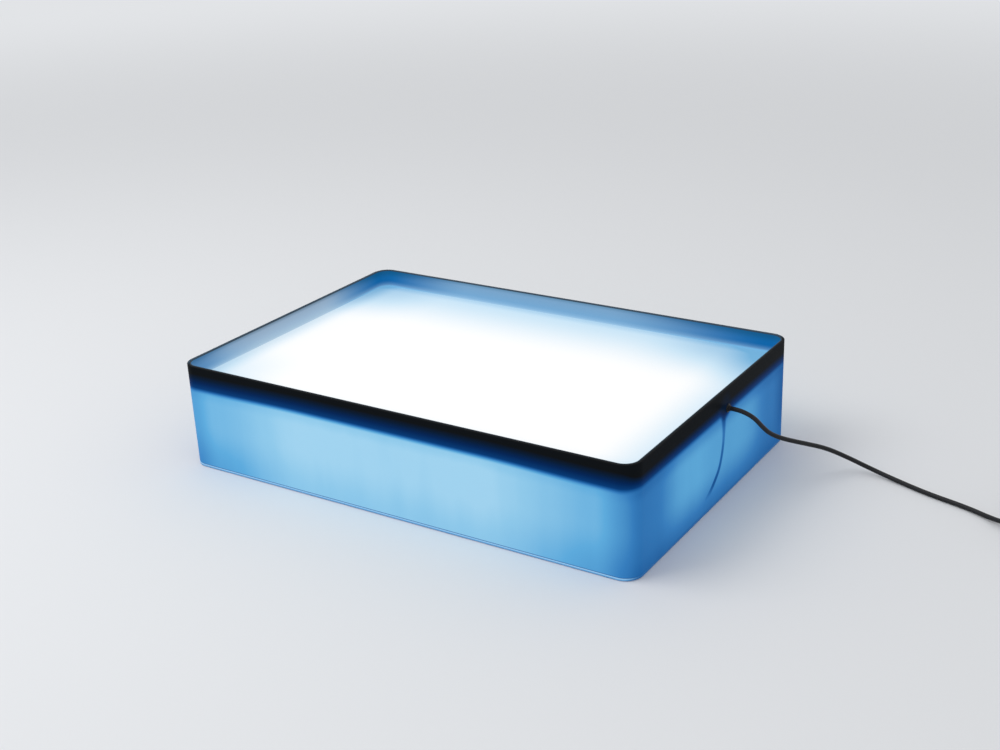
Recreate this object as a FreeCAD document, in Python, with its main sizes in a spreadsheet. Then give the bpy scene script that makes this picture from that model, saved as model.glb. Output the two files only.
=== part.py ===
import FreeCAD, Part
import math
import os
import re
import Sketcher

# Classroom light box: a translucent tub lit from inside by lamp strips on its base, with a black band
# round the top, a lift-out tray whose opal floor is the light surface, and a supply lead that leaves the
# right-hand end. Millimetres. The origin is the middle of the footprint on the table, X runs along the
# long side, Y across it and Z up.

V = FreeCAD.Vector
doc = FreeCAD.newDocument("light_box")

# Driving sizes
SIZES = {
    # the box as a whole
    "box_length": 600.0,
    "box_width": 400.0,
    "box_height": 130.0,
    "corner_radius": 20.0,
    # base plate, its pads and the dark seam above it
    "pad_height": 0.8,
    "pad_radius": 9.0,
    "pad_inset": 40.0,
    "plate_thickness": 2.5,
    "plate_edge_radius": 0.5,
    "seam_height": 0.9,
    "seam_setback": 0.4,
    "seam_width": 14.0,
    # translucent tub and the flange that the base screws hold
    "skin_thickness": 2.2,
    "flange_width": 14.0,
    "flange_thickness": 3.0,
    "base_screw_radius": 1.5,
    "base_screw_head_radius": 2.9,
    "base_screw_head_depth": 1.6,
    "base_screw_length": 5.6,
    "screw_end_margin": 60.0,
    "screw_side_margin": 130.0,
    "hole_clearance": 0.1,
    # black frame behind the top of the tub, and the trim along its edge
    "frame_thickness": 0.7,
    "ledge_width": 9.0,
    "ledge_thickness": 1.5,
    "trim_height": 0.8,
    # lift-out tray
    "surface_depth": 23.0,
    "panel_thickness": 2.5,
    "tray_gap": 0.3,
    "tray_wall_thickness": 1.3,
    # cable entry
    "gland_offset": 23.0,
    "gland_drop": 23.5,
    "gland_flange_radius": 5.0,
    "gland_flange_thickness": 1.2,
    "gland_barrel_radius": 3.8,
    "gland_bore_radius": 2.9,
    "gland_inside": 6.4,
    "gland_nut_radius": 5.2,
    "gland_nut_thickness": 3.0,
    "sleeve_radius": 2.8,
    "sleeve_root_radius": 3.5,
    "sleeve_outside": 2.3,
    "sleeve_inside": 0.7,
    "notch_gap": 1.3,
    "slot_gap": 0.8,
    "lead_room": 11.8,
    "cover_side_lap": 1.5,
    "cover_end_lap": 0.3,
    "cover_headroom": 2.3,
    "cover_wall": 1.2,
    # reflector and lamp strips
    "reflector_thickness": 0.8,
    "reflector_inset": 17.0,
    "strip_count": 5,
    "strip_side_margin": 80.0,
    "strip_end_gap": 15.0,
    "strip_width": 16.0,
    "strip_thickness": 1.6,
    "strip_corner_radius": 2.0,
    "lamp_count": 12,
    "lamp_margin": 19.5,
    "lamp_side": 5.0,
    "lamp_height": 1.5,
    "strip_screw_radius": 1.4,
    "strip_screw_head_radius": 2.6,
    "strip_screw_head_height": 1.8,
    "strip_screw_bite": 2.0,
    "strip_screw_margin": 10.0,
    "wire_radius": 0.7,
    "wire_rise": 4.0,
    "wire_margin": 4.0,
    "wire_land": 5.0,
    # driver unit
    "driver_length": 60.0,
    "driver_width": 34.0,
    "driver_height": 16.0,
    "driver_wall": 1.6,
    "driver_lid": 2.0,
    "driver_corner_radius": 3.0,
    "driver_end_gap": 18.8,
    "driver_offset": 45.0,
    "driver_board_thickness": 1.6,
    "driver_board_rise": 3.0,
    "driver_board_margin": 0.3,
    "driver_rib_width": 3.0,
    "driver_screw_radius": 1.2,
    "driver_screw_margin": 4.0,
    "driver_post_radius": 2.6,
    "driver_coil_side": 12.0,
    "driver_coil_height": 7.0,
    "inner_lead_diameter": 2.4,
    "inner_lead_height": 6.4,
    # supply lead
    "lead_diameter": 5.2,
    "coil_gap": 0.6,
    "coil_mean_radius": 28.6,
    "coil_layer_turns": 3.25,
    "coil_reach": 673.0,
    "coil_offset": 206.0,
    "tie_width": 10.0,
    "tie_thickness": 0.8,
    "tie_clearance": 0.35,
    # in-line switch
    "switch_reach": 642.0,
    "switch_offset": 85.0,
    "switch_length": 56.0,
    "switch_width": 24.0,
    "switch_base_height": 9.0,
    "switch_cover_height": 9.0,
    "switch_wall": 1.8,
    "switch_corner_radius": 6.0,
    "switch_edge_radius": 2.0,
    "collar_length": 6.0,
    "collar_root_radius": 4.4,
    "collar_tip_radius": 3.4,
    "window_end_gap": 1.2,
    "window_side_gap": 0.5,
    "rocker_length": 19.6,
    "rocker_width": 12.0,
    "rocker_end_height": 3.6,
    "rocker_dip": 1.2,
    "rocker_keel": 3.0,
    "rocker_hub_radius": 2.2,
    "rocker_angle": 7.0,
    "axle_radius": 1.0,
    "axle_clearance": 0.08,
    "axle_drop": 2.6,
    "axle_overhang": 2.0,
    "ear_thickness": 1.6,
    "ear_radius": 2.2,
    "contact_width": 5.0,
    "contact_thickness": 0.6,
    "contact_height": 11.6,
    "contact_length": 12.0,
    "contact_spread": 9.0,
    "switch_screw_radius": 1.1,
    "switch_screw_head_radius": 2.0,
    "switch_screw_head_depth": 1.2,
    "switch_screw_margin": 6.0,
    "switch_post_radius": 2.6,
    # plug-in power adaptor
    "adaptor_length": 62.0,
    "adaptor_width": 42.0,
    "adaptor_height": 28.0,
    "adaptor_wall": 2.0,
    "adaptor_corner_radius": 7.0,
    "adaptor_edge_radius": 3.0,
    "adaptor_sleeve_length": 36.0,
    "adaptor_sleeve_root": 4.2,
    "adaptor_sleeve_tip": 3.2,
    "adaptor_rib_width": 2.0,
    "adaptor_rib_height": 4.0,
    "adaptor_board_thickness": 1.6,
    "adaptor_board_margin": 0.5,
    "transformer_length": 24.0,
    "transformer_width": 20.0,
    "transformer_height": 13.0,
    "pin_radius": 2.0,
    "pin_length": 19.0,
    "pin_root": 5.0,
    "pin_spacing": 19.0,
    "pin_setback": 14.0,
    # one overrun for every cut that has to pass a face
    "overrun": 1.0,
}

sheet = doc.addObject("Spreadsheet::Sheet", "Sizes")
for row, (alias, value) in enumerate(SIZES.items(), 1):
    sheet.set(f"A{row}", alias)
    sheet.set(f"B{row}", str(value))
    sheet.setAlias(f"B{row}", alias)
doc.recompute()


def bound(text):
    """The expression for a property, from words that name cells of the sheet."""
    return re.sub(r"[a-z][a-z_]*", lambda m: f"Sizes.{m.group()}" if m.group() in SIZES else m.group(), text)


def size(text):
    """The same expression worked out as a number of millimetres."""
    return float(sheet.evalExpression(text))


def bind(thing, prop, text):
    thing.setExpression(prop, bound(text))


# Heights above the table, and distances inside the box, that several pieces share
PLATE_TOP = "(pad_height + plate_thickness)"
SEAM_TOP = f"({PLATE_TOP} + seam_height)"
SKIN_TOP = "(box_height - trim_height)"
SURFACE = "(box_height - surface_depth)"
LEDGE_TOP = f"({SURFACE} - panel_thickness)"
LEDGE_BOTTOM = f"({LEDGE_TOP} - ledge_thickness)"
REFLECTOR_TOP = f"({PLATE_TOP} + reflector_thickness)"
STRIP_TOP = f"({REFLECTOR_TOP} + strip_thickness)"
FRAME_FACE = "(skin_thickness + frame_thickness)"
TRAY_FACE = f"({FRAME_FACE} + tray_gap)"
TRAY_INNER = f"({TRAY_FACE} + tray_wall_thickness)"
FLANGE_EDGE = "(box_length / 2 - skin_thickness - flange_width)"
SCREW_LINE = "(skin_thickness + flange_width / 2)"
DRIVER_X = f"({FLANGE_EDGE} - driver_end_gap - driver_length / 2)"
STRIP_END = f"({DRIVER_X} - driver_length / 2 - strip_end_gap)"
STRIP_SCREW_X = f"({STRIP_END} - strip_screw_margin)"
GLAND_HEIGHT = "(box_height - gland_drop)"
NOTCH_WIDTH = "(2 * (gland_nut_radius + notch_gap))"
NOTCH_DEPTH = f"(gland_inside - {TRAY_FACE} + lead_room)"
SLOT_TOP = f"({GLAND_HEIGHT} + gland_nut_radius + slot_gap)"
SLEEVE_TIP = "(box_length / 2 + gland_flange_thickness + sleeve_outside)"
SLEEVE_END = "(box_length / 2 - gland_inside - sleeve_inside)"
COIL_LIFT = "(tie_thickness + tie_clearance + lead_diameter / 2)"
COIL_STEP = "(lead_diameter + coil_gap)"
COIL_TOP_LAYER = f"({COIL_LIFT} + {COIL_STEP})"
COIL_OUTER = f"(coil_mean_radius + {COIL_STEP} * coil_layer_turns / 2)"
COIL_INNER = f"(coil_mean_radius - {COIL_STEP} * coil_layer_turns / 2)"
SWITCH_TOP = "(switch_base_height + switch_cover_height)"
AXLE_HEIGHT = f"({SWITCH_TOP} - axle_drop)"

nodes = []


def node(thing, name):
    """Marks an object as one of the pieces, under the name that its file takes."""
    thing.Label = name
    nodes.append(thing)
    return thing


def place(thing, x="0", y="0", z="0", turn=None):
    """Puts an object at bound coordinates, turned about one axis where it lies another way."""
    if turn:
        thing.Placement = FreeCAD.Placement(V(0, 0, 0), FreeCAD.Rotation(turn[0], turn[1]))
    for axis, text in zip("xyz", (x, y, z)):
        bind(thing, f"Placement.Base.{axis}", text)
    return thing


ALONG_X = (V(0, 1, 0), 90)
ALONG_Y = (V(1, 0, 0), -90)


# Sketched bodies
FLAT = 1e-6


def new_body(name):
    return doc.addObject("PartDesign::Body", name)


def new_sketch(body, name, role, offset):
    """An empty sketch on one of the body's own origin planes, moved along its normal."""
    sketch = body.newObject("Sketcher::SketchObject", name)
    plane = [f for f in body.Origin.OriginFeatures if f.Role == role][0]
    sketch.AttachmentSupport = [(plane, "")]
    sketch.MapMode = "FlatFace"
    bind(sketch, "AttachmentOffset.Base.z", offset)
    return sketch


def constrain(sketch, text, *rule):
    """Adds a driving constraint whose value follows the sheet."""
    index = sketch.addConstraint(Sketcher.Constraint(*rule, size(text)))
    bind(sketch, f"Constraints[{index}]", text)


def rounded_outline(sketch, length, width, radius):
    """A rectangle with round corners about the sketch's origin."""
    x, y, r = size(f"({length}) / 2"), size(f"({width}) / 2"), size(radius)
    first = sketch.GeometryCount
    corners = ((x - r, y - r, 0), (r - x, y - r, 1), (r - x, r - y, 2), (x - r, r - y, 3))
    for cx, cy, quarter in corners:
        circle = Part.Circle(V(cx, cy, 0), V(0, 0, 1), r)
        sketch.addGeometry(Part.ArcOfCircle(circle, quarter * math.pi / 2, (quarter + 1) * math.pi / 2), False)
    ends = (((x - r, y), (r - x, y)), ((-x, y - r), (-x, r - y)), ((r - x, -y), (x - r, -y)), ((x, r - y), (x, y - r)))
    for (ax, ay), (bx, by) in ends:
        sketch.addGeometry(Part.LineSegment(V(ax, ay, 0), V(bx, by, 0)), False)
    for k in range(4):
        arc, line, after = first + k, first + 4 + k, first + (k + 1) % 4
        sketch.addConstraint(Sketcher.Constraint("Tangent", arc, 2, line, 1))
        sketch.addConstraint(Sketcher.Constraint("Tangent", line, 2, after, 1))
        sketch.addConstraint(Sketcher.Constraint("Vertical" if k % 2 else "Horizontal", line))
    for k in range(1, 4):
        sketch.addConstraint(Sketcher.Constraint("Equal", first, first + k))
    sketch.addConstraint(Sketcher.Constraint("Symmetric", first, 3, first + 2, 3, -1, 1))
    constrain(sketch, radius, "Radius", first)
    constrain(sketch, length, "DistanceX", first + 5, 1, first + 7, 1)
    constrain(sketch, width, "DistanceY", first + 6, 1, first + 4, 1)


def square_outline(sketch, low_x, high_x, low_y, high_y):
    """A rectangle between four bound lines, measured from the sketch's origin."""
    x0, x1, y0, y1 = (size(text) for text in (low_x, high_x, low_y, high_y))
    first = sketch.GeometryCount
    corners = [V(x0, y0, 0), V(x1, y0, 0), V(x1, y1, 0), V(x0, y1, 0)]
    for k in range(4):
        sketch.addGeometry(Part.LineSegment(corners[k], corners[(k + 1) % 4]), False)
    for k in range(4):
        sketch.addConstraint(Sketcher.Constraint("Coincident", first + k, 2, first + (k + 1) % 4, 1))
        sketch.addConstraint(Sketcher.Constraint("Vertical" if k % 2 else "Horizontal", first + k))
    constrain(sketch, low_x, "DistanceX", -1, 1, first, 1)
    constrain(sketch, low_y, "DistanceY", -1, 1, first, 1)
    constrain(sketch, high_x, "DistanceX", -1, 1, first + 1, 2)
    constrain(sketch, high_y, "DistanceY", -1, 1, first + 1, 2)


def circles(sketch, places, radius):
    """Circles of one radius at bound places."""
    for x, y in places:
        index = sketch.addGeometry(Part.Circle(V(size(x), size(y), 0), V(0, 0, 1), size(radius)), False)
        constrain(sketch, x, "DistanceX", -1, 1, index, 3)
        constrain(sketch, y, "DistanceY", -1, 1, index, 3)
        constrain(sketch, radius, "Radius", index)


def pad(body, sketch, height):
    feature = body.newObject("PartDesign::Pad", f"{sketch.Name}_pad")
    feature.Profile = sketch
    bind(feature, "Length", height)
    sketch.Visibility = False
    doc.recompute()
    return feature


def pocket(body, sketch, depth, upward=False):
    """Cuts the sketch away from the body, against the sketch's normal unless upward, and checks that it did."""
    before = body.Shape.Volume
    feature = body.newObject("PartDesign::Pocket", f"{sketch.Name}_pocket")
    feature.Profile = sketch
    feature.Reversed = upward
    bind(feature, "Length", depth)
    doc.recompute()
    if body.Shape.Volume >= before:
        raise RuntimeError(f"{sketch.Name} cuts nothing")
    return feature


def slab(name, length, width, radius, bottom, height, edge_radius=None, edges_at=()):
    """A plate with round corners, and with its edges rounded too at the heights in edges_at."""
    body = new_body(name)
    sketch = new_sketch(body, f"{name}_outline", "XY_Plane", bottom)
    rounded_outline(sketch, length, width, radius)
    block_pad = pad(body, sketch, height)
    if edges_at:
        levels = [size(text) for text in edges_at]
        edges = [
            f"Edge{k}"
            for k, edge in enumerate(block_pad.Shape.Edges, 1)
            if edge.BoundBox.ZLength < FLAT and any(abs(edge.CenterOfMass.z - z) < FLAT for z in levels)
        ]
        rounding = body.newObject("PartDesign::Fillet", f"{name}_rounding")
        rounding.Base = (block_pad, edges)
        bind(rounding, "Radius", edge_radius)
        block_pad.Visibility = False
        doc.recompute()
    return body


def add_ring(body, name, inset, wall, bottom, height):
    """Pads a rounded frame that follows the box's outline, inset from it, with a wall of its own."""
    sketch = new_sketch(body, name, "XY_Plane", bottom)
    for step in (f"({inset})", f"({inset} + {wall})"):
        rounded_outline(sketch, f"box_length - 2 * {step}", f"box_width - 2 * {step}", f"corner_radius - {step}")
    pad(body, sketch, height)


SPREAD_SHARES = (-1, "-1 / 3", "1 / 3", 1)
ENDS = (1, -1)


def base_screw_places():
    """Twelve screws, four along each long side and two along each short side."""
    line_x, line_y = f"(box_length / 2 - {SCREW_LINE})", f"(box_width / 2 - {SCREW_LINE})"
    long_reach, short_reach = "(box_length / 2 - screw_end_margin)", "(box_width / 2 - screw_side_margin)"
    long_sides = [(f"{share} * {long_reach}", f"{side} * {line_y}") for side in ENDS for share in SPREAD_SHARES]
    short_sides = [(f"{side} * {line_x}", f"{end} * {short_reach}") for side in ENDS for end in ENDS]
    return long_sides + short_sides


def evenly(count, reach):
    """Places spread evenly from minus the reach to the reach."""
    return [f"{2 * k - (count - 1)} / {count - 1} * {reach}" for k in range(count)]


def strip_lines():
    """The Y of each lamp strip."""
    return evenly(int(SIZES["strip_count"]), "(box_width / 2 - strip_side_margin)")


def strip_screw_places():
    return [(f"{side} * {STRIP_SCREW_X}", y) for y in strip_lines() for side in ENDS]


# Primitives and booleans
def primitive(kind, name, **properties):
    thing = doc.addObject(kind, name)
    for prop, text in properties.items():
        bind(thing, prop, text)
    return thing


def block(name, length, width, height, x, y, z):
    """A box given by its size and the middle of its underside."""
    thing = primitive("Part::Box", name, Length=length, Width=width, Height=height)
    return place(thing, f"{x} - ({length}) / 2", f"{y} - ({width}) / 2", z)


def rod(name, radius, height, x="0", y="0", z="0", turn=None):
    return place(primitive("Part::Cylinder", name, Radius=radius, Height=height), x, y, z, turn)


def taper(name, low_radius, high_radius, height, x="0", y="0", z="0", turn=None):
    thing = primitive("Part::Cone", name, Radius1=low_radius, Radius2=high_radius, Height=height)
    return place(thing, x, y, z, turn)


def fuse(name, *things):
    thing = doc.addObject("Part::MultiFuse", name)
    thing.Shapes = list(things)
    return thing


def cut(name, base, tool):
    thing = doc.addObject("Part::Cut", name)
    thing.Base = base
    thing.Tool = tool
    return thing


def group(name, things):
    """Like pieces that share a node, each still a solid of its own."""
    thing = doc.addObject("Part::Compound", name)
    thing.Links = list(things)
    return thing


def feature(name, shape, spot=None):
    thing = doc.addObject("Part::Feature", name)
    thing.Shape = shape
    thing.Placement = spot or FreeCAD.Placement()
    return thing


# Tubes along a route of straight runs joined by tangent arcs
RUN_SHARE = 0.45


def rounded_path(points):
    """The wire through a route, each corner an arc as large as its two runs allow, with its radii and length."""
    points = [V(*p) for p in points]
    edges, radii, start = [], [], points[0]
    for before, corner, after in zip(points, points[1:], points[2:]):
        inward, outward = before - corner, after - corner
        run = min(inward.Length, outward.Length)
        inward.normalize()
        outward.normalize()
        half_turn = (math.pi - inward.getAngle(outward)) / 2
        reach = RUN_SHARE * run
        first, last = corner + inward * reach, corner + outward * reach
        radius = reach / math.tan(half_turn)
        middle_way = inward + outward
        middle_way.normalize()
        middle = corner + middle_way * (radius / math.cos(half_turn) - radius)
        edges.append(Part.LineSegment(start, first).toShape())
        edges.append(Part.Arc(first, middle, last).toShape())
        radii.append(radius)
        start = last
    edges.append(Part.LineSegment(start, points[-1]).toShape())
    return Part.Wire(edges), radii


def pipe(wire, radius, start, direction):
    """A solid tube of one radius along a wire."""
    profile = Part.Wire([Part.Circle(start, direction, radius).toShape()])
    return wire.makePipeShell([profile], True, False)


def tube(name, points, diameter):
    """A free stretch of lead, with its radii printed and its volume held against its section and length."""
    wire, radii = rounded_path(points)
    start = V(*points[0])
    solid = pipe(wire, diameter / 2, start, V(*points[1]) - start)
    share = solid.Volume / (math.pi * diameter**2 / 4 * wire.Length)
    print(f"{name}: {wire.Length:.1f} mm, volume share {share:.4f}, radii", [round(r, 1) for r in radii])
    return feature(name, solid), wire.Length


def biarc(start, start_way, end, end_way):
    """Two arcs between two points, tangent to a direction at each."""
    across, both = end - start, start_way + end_way
    a = 2 * (1 - start_way.dot(end_way))
    b = across.dot(both)
    reach = (-b + math.sqrt(b * b + a * across.dot(across))) / a if a > 1e-9 else across.Length / 4
    near, far = start + start_way * reach, end - end_way * reach
    joint = (near + far) * 0.5
    arcs = []
    for p, corner, q in ((start, near, joint), (joint, far, end)):
        chord = q - p
        sag_way = corner - (p + q) * 0.5
        half_turn = math.atan2(sag_way.Length, chord.Length / 2)
        sag_way.normalize()
        middle = (p + q) * 0.5 + sag_way * (chord.Length / 2 * math.tan(half_turn / 2))
        arcs.append(Part.Arc(p, middle, q).toShape())
    return arcs


# Base plate, pads, seam and tub
plate = slab(
    "plate", "box_length", "box_width", "corner_radius", "pad_height", "plate_thickness",
    "plate_edge_radius", ("pad_height", PLATE_TOP),
)
plate_screw_sketch = new_sketch(plate, "plate_screw_holes", "XY_Plane", PLATE_TOP)
circles(plate_screw_sketch, base_screw_places(), "base_screw_radius + hole_clearance")
circles(plate_screw_sketch, strip_screw_places(), "strip_screw_radius + hole_clearance")
pocket(plate, plate_screw_sketch, "plate_thickness + overrun")
plate_sinks = group(
    "plate_sinks",
    [
        taper(
            f"plate_sink_{k}",
            "base_screw_head_radius + hole_clearance",
            "base_screw_radius + hole_clearance",
            "base_screw_head_depth",
            x, y, "pad_height",
        )
        for k, (x, y) in enumerate(base_screw_places())
    ],
)
node(cut("plate_sunk", plate, plate_sinks), "base_plate")

pad_x, pad_y = "(box_length / 2 - pad_inset)", "(box_width / 2 - pad_inset)"
node(
    group(
        "pads",
        [
            rod(f"pad_{k}", "pad_radius", "pad_height", f"{sx}{pad_x}", f"{sy}{pad_y}")
            for k, (sx, sy) in enumerate((("", ""), ("-", ""), ("-", "-"), ("", "-")))
        ],
    ),
    "foot_pads",
)

seam = new_body("seam")
add_ring(seam, "seam_outline", "seam_setback", "seam_width", PLATE_TOP, "seam_height")
seam_holes = new_sketch(seam, "seam_holes", "XY_Plane", SEAM_TOP)
circles(seam_holes, base_screw_places(), "base_screw_radius + hole_clearance")
pocket(seam, seam_holes, "seam_height + overrun")
node(seam, "base_gasket")

tub = new_body("tub")
add_ring(tub, "tub_skin", "0", "skin_thickness", SEAM_TOP, f"{SKIN_TOP} - {SEAM_TOP}")
add_ring(tub, "tub_flange", "0", "skin_thickness + flange_width", SEAM_TOP, "flange_thickness")
tub_holes = new_sketch(tub, "tub_screw_holes", "XY_Plane", f"{SEAM_TOP} + flange_thickness")
circles(tub_holes, base_screw_places(), "base_screw_radius + hole_clearance")
pocket(tub, tub_holes, "flange_thickness + overrun")
tub_entry = new_sketch(tub, "tub_lead_hole", "YZ_Plane", "box_length / 2 + overrun")
circles(tub_entry, [("gland_offset", GLAND_HEIGHT)], "gland_barrel_radius + hole_clearance")
pocket(tub, tub_entry, "skin_thickness + 2 * overrun")
node(tub, "translucent_tub")

node(
    group(
        "screws_in_base",
        [
            fuse(
                f"base_screw_{k}",
                rod(f"base_screw_shank_{k}", "base_screw_radius", "base_screw_length", x, y, "pad_height"),
                taper(
                    f"base_screw_head_{k}",
                    "base_screw_head_radius", "base_screw_radius", "base_screw_head_depth",
                    x, y, "pad_height",
                ),
            )
            for k, (x, y) in enumerate(base_screw_places())
        ],
    ),
    "base_screws",
)

# Black frame behind the top of the tub, with the ledge that carries the tray, and the trim on the edge
frame = new_body("frame")
add_ring(frame, "frame_leg", "skin_thickness", "frame_thickness", LEDGE_BOTTOM, f"{SKIN_TOP} - {LEDGE_BOTTOM}")
add_ring(frame, "frame_ledge", "skin_thickness", "frame_thickness + ledge_width", LEDGE_BOTTOM, "ledge_thickness")
frame_entry = new_sketch(frame, "frame_lead_hole", "YZ_Plane", "box_length / 2 + overrun")
circles(frame_entry, [("gland_offset", GLAND_HEIGHT)], "gland_barrel_radius + hole_clearance")
pocket(frame, frame_entry, f"{FRAME_FACE} + 2 * overrun")
NOTCH_LOW, NOTCH_HIGH = f"gland_offset - {NOTCH_WIDTH} / 2", f"gland_offset + {NOTCH_WIDTH} / 2"
frame_notch = new_sketch(frame, "frame_notch", "XY_Plane", f"{LEDGE_TOP}")
square_outline(
    frame_notch,
    f"box_length / 2 - {TRAY_FACE} - {NOTCH_DEPTH}", f"box_length / 2 - {FRAME_FACE}",
    NOTCH_LOW, NOTCH_HIGH,
)
pocket(frame, frame_notch, "ledge_thickness + overrun")
node(frame, "blackout_frame")

trim = new_body("trim")
add_ring(trim, "trim_outline", "0", FRAME_FACE, SKIN_TOP, "trim_height")
node(trim, "edge_trim")

# Lift-out tray: opal light panel, upstand wall and the cover over the lead's entry
panel = slab(
    "panel",
    f"box_length - 2 * {TRAY_FACE}", f"box_width - 2 * {TRAY_FACE}", f"corner_radius - {TRAY_FACE}",
    LEDGE_TOP, "panel_thickness",
)
panel_notch = new_sketch(panel, "panel_notch", "XY_Plane", SURFACE)
square_outline(
    panel_notch,
    f"box_length / 2 - {TRAY_FACE} - {NOTCH_DEPTH}", "box_length / 2", NOTCH_LOW, NOTCH_HIGH,
)
pocket(panel, panel_notch, "panel_thickness + overrun")
node(panel, "light_panel")

wall = new_body("wall")
add_ring(wall, "wall_outline", TRAY_FACE, "tray_wall_thickness", SURFACE, "surface_depth")
wall_slot = new_sketch(wall, "wall_slot", "YZ_Plane", "box_length / 2")
square_outline(wall_slot, NOTCH_LOW, NOTCH_HIGH, f"{SURFACE} - overrun", SLOT_TOP)
pocket(wall, wall_slot, f"{TRAY_INNER} + overrun")
node(wall, "tray_wall")

COVER_BACK = f"box_length / 2 - {TRAY_INNER}"
COVER_DEPTH = f"({NOTCH_DEPTH} - tray_wall_thickness + cover_end_lap)"
COVER_WIDTH = f"({NOTCH_WIDTH} + 2 * cover_side_lap)"
COVER_HEIGHT = f"({SLOT_TOP} + cover_headroom + cover_wall - {SURFACE})"
node(
    cut(
        "cover",
        block("cover_outside", COVER_DEPTH, COVER_WIDTH, COVER_HEIGHT,
              f"{COVER_BACK} - {COVER_DEPTH} / 2", "gland_offset", SURFACE),
        block("cover_inside", COVER_DEPTH, f"{COVER_WIDTH} - 2 * cover_wall", COVER_HEIGHT,
              f"{COVER_BACK} - {COVER_DEPTH} / 2 + cover_wall", "gland_offset", f"{SURFACE} - cover_wall"),
    ),
    "lead_cover",
)

# Cable entry through the tub and the frame
node(
    cut(
        "gland",
        fuse(
            "gland_outside",
            rod("gland_flange", "gland_flange_radius", "gland_flange_thickness",
                "box_length / 2", "gland_offset", GLAND_HEIGHT, ALONG_X),
            rod("gland_barrel", "gland_barrel_radius", "gland_inside",
                "box_length / 2 - gland_inside", "gland_offset", GLAND_HEIGHT, ALONG_X),
        ),
        rod("gland_bore", "gland_bore_radius", "gland_inside + gland_flange_thickness + 2 * overrun",
            "box_length / 2 - gland_inside - overrun", "gland_offset", GLAND_HEIGHT, ALONG_X),
    ),
    "gland_bush",
)
nut_blank = primitive("Part::Prism", "nut_blank", Circumradius="gland_nut_radius", Height="gland_nut_thickness")
nut_blank.Polygon = 6
NUT_END = f"box_length / 2 - {FRAME_FACE} - gland_nut_thickness"
place(nut_blank, NUT_END, "gland_offset", GLAND_HEIGHT, ALONG_X)
node(
    cut(
        "nut", nut_blank,
        rod("nut_bore", "gland_barrel_radius + hole_clearance", "gland_nut_thickness + 2 * overrun",
            f"{NUT_END} - overrun", "gland_offset", GLAND_HEIGHT, ALONG_X),
    ),
    "gland_nut",
)
node(
    fuse(
        "sleeve",
        rod("sleeve_core", "sleeve_radius", f"{SLEEVE_TIP} - {SLEEVE_END}",
            SLEEVE_END, "gland_offset", GLAND_HEIGHT, ALONG_X),
        taper("sleeve_nose", "sleeve_root_radius", "sleeve_radius", "sleeve_outside",
              "box_length / 2 + gland_flange_thickness", "gland_offset", GLAND_HEIGHT, ALONG_X),
    ),
    "lead_sleeve",
)

# Reflector, lamp strips, lamps and their screws
reflector = slab(
    "reflector",
    "box_length - 2 * reflector_inset", "box_width - 2 * reflector_inset", "corner_radius",
    PLATE_TOP, "reflector_thickness",
)
reflector_holes = new_sketch(reflector, "reflector_holes", "XY_Plane", REFLECTOR_TOP)
circles(reflector_holes, strip_screw_places(), "strip_screw_radius + hole_clearance")
pocket(reflector, reflector_holes, "reflector_thickness + overrun")
node(reflector, "reflector_sheet")

for number, line in enumerate(strip_lines(), 1):
    strip = slab(f"strip_{number}", f"2 * {STRIP_END}", "strip_width", "strip_corner_radius", "0", "strip_thickness")
    holes = new_sketch(strip, f"strip_{number}_holes", "XY_Plane", "strip_thickness")
    circles(holes, [(f"{side} * {STRIP_SCREW_X}", "0") for side in ENDS], "strip_screw_radius + hole_clearance")
    pocket(strip, holes, "strip_thickness + overrun")
    place(strip, "0", line, REFLECTOR_TOP)
    node(strip, f"lamp_strip_{number}")
    lamps = [
        block(f"lamp_{number}_{k}", "lamp_side", "lamp_side", "lamp_height", x, line, STRIP_TOP)
        for k, x in enumerate(evenly(int(SIZES["lamp_count"]), f"({STRIP_END} - lamp_margin)"))
    ]
    node(group(f"lamp_row_{number}", lamps), f"lamps_{number}")

node(
    group(
        "screws_in_strips",
        [
            fuse(
                f"strip_screw_{k}",
                rod(f"strip_screw_shank_{k}", "strip_screw_radius",
                    "strip_thickness + reflector_thickness + strip_screw_bite",
                    x, y, f"{PLATE_TOP} - strip_screw_bite"),
                rod(f"strip_screw_head_{k}", "strip_screw_head_radius", "strip_screw_head_height", x, y, STRIP_TOP),
            )
            for k, (x, y) in enumerate(strip_screw_places())
        ],
    ),
    "strip_screws",
)

# Wires from strip to strip, each a low hoop
hoops = []
for line, following in zip(strip_lines(), strip_lines()[1:]):
    for lane in (1, 2):
        x = size(f"{STRIP_END} - wire_margin / 2 * {lane}")
        y0, y1 = size(f"{line} + wire_land"), size(f"{following} - wire_land")
        z0, z1 = size(STRIP_TOP), size(f"{STRIP_TOP} + wire_rise")
        wire, radii = rounded_path([(x, y0, z0), (x, y0, z1), (x, y1, z1), (x, y1, z0)])
        hoops.append(pipe(wire, size("wire_radius"), V(x, y0, z0), V(0, 0, 1)))
node(feature("hoops", Part.makeCompound(hoops)), "strip_link_wires")

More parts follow.
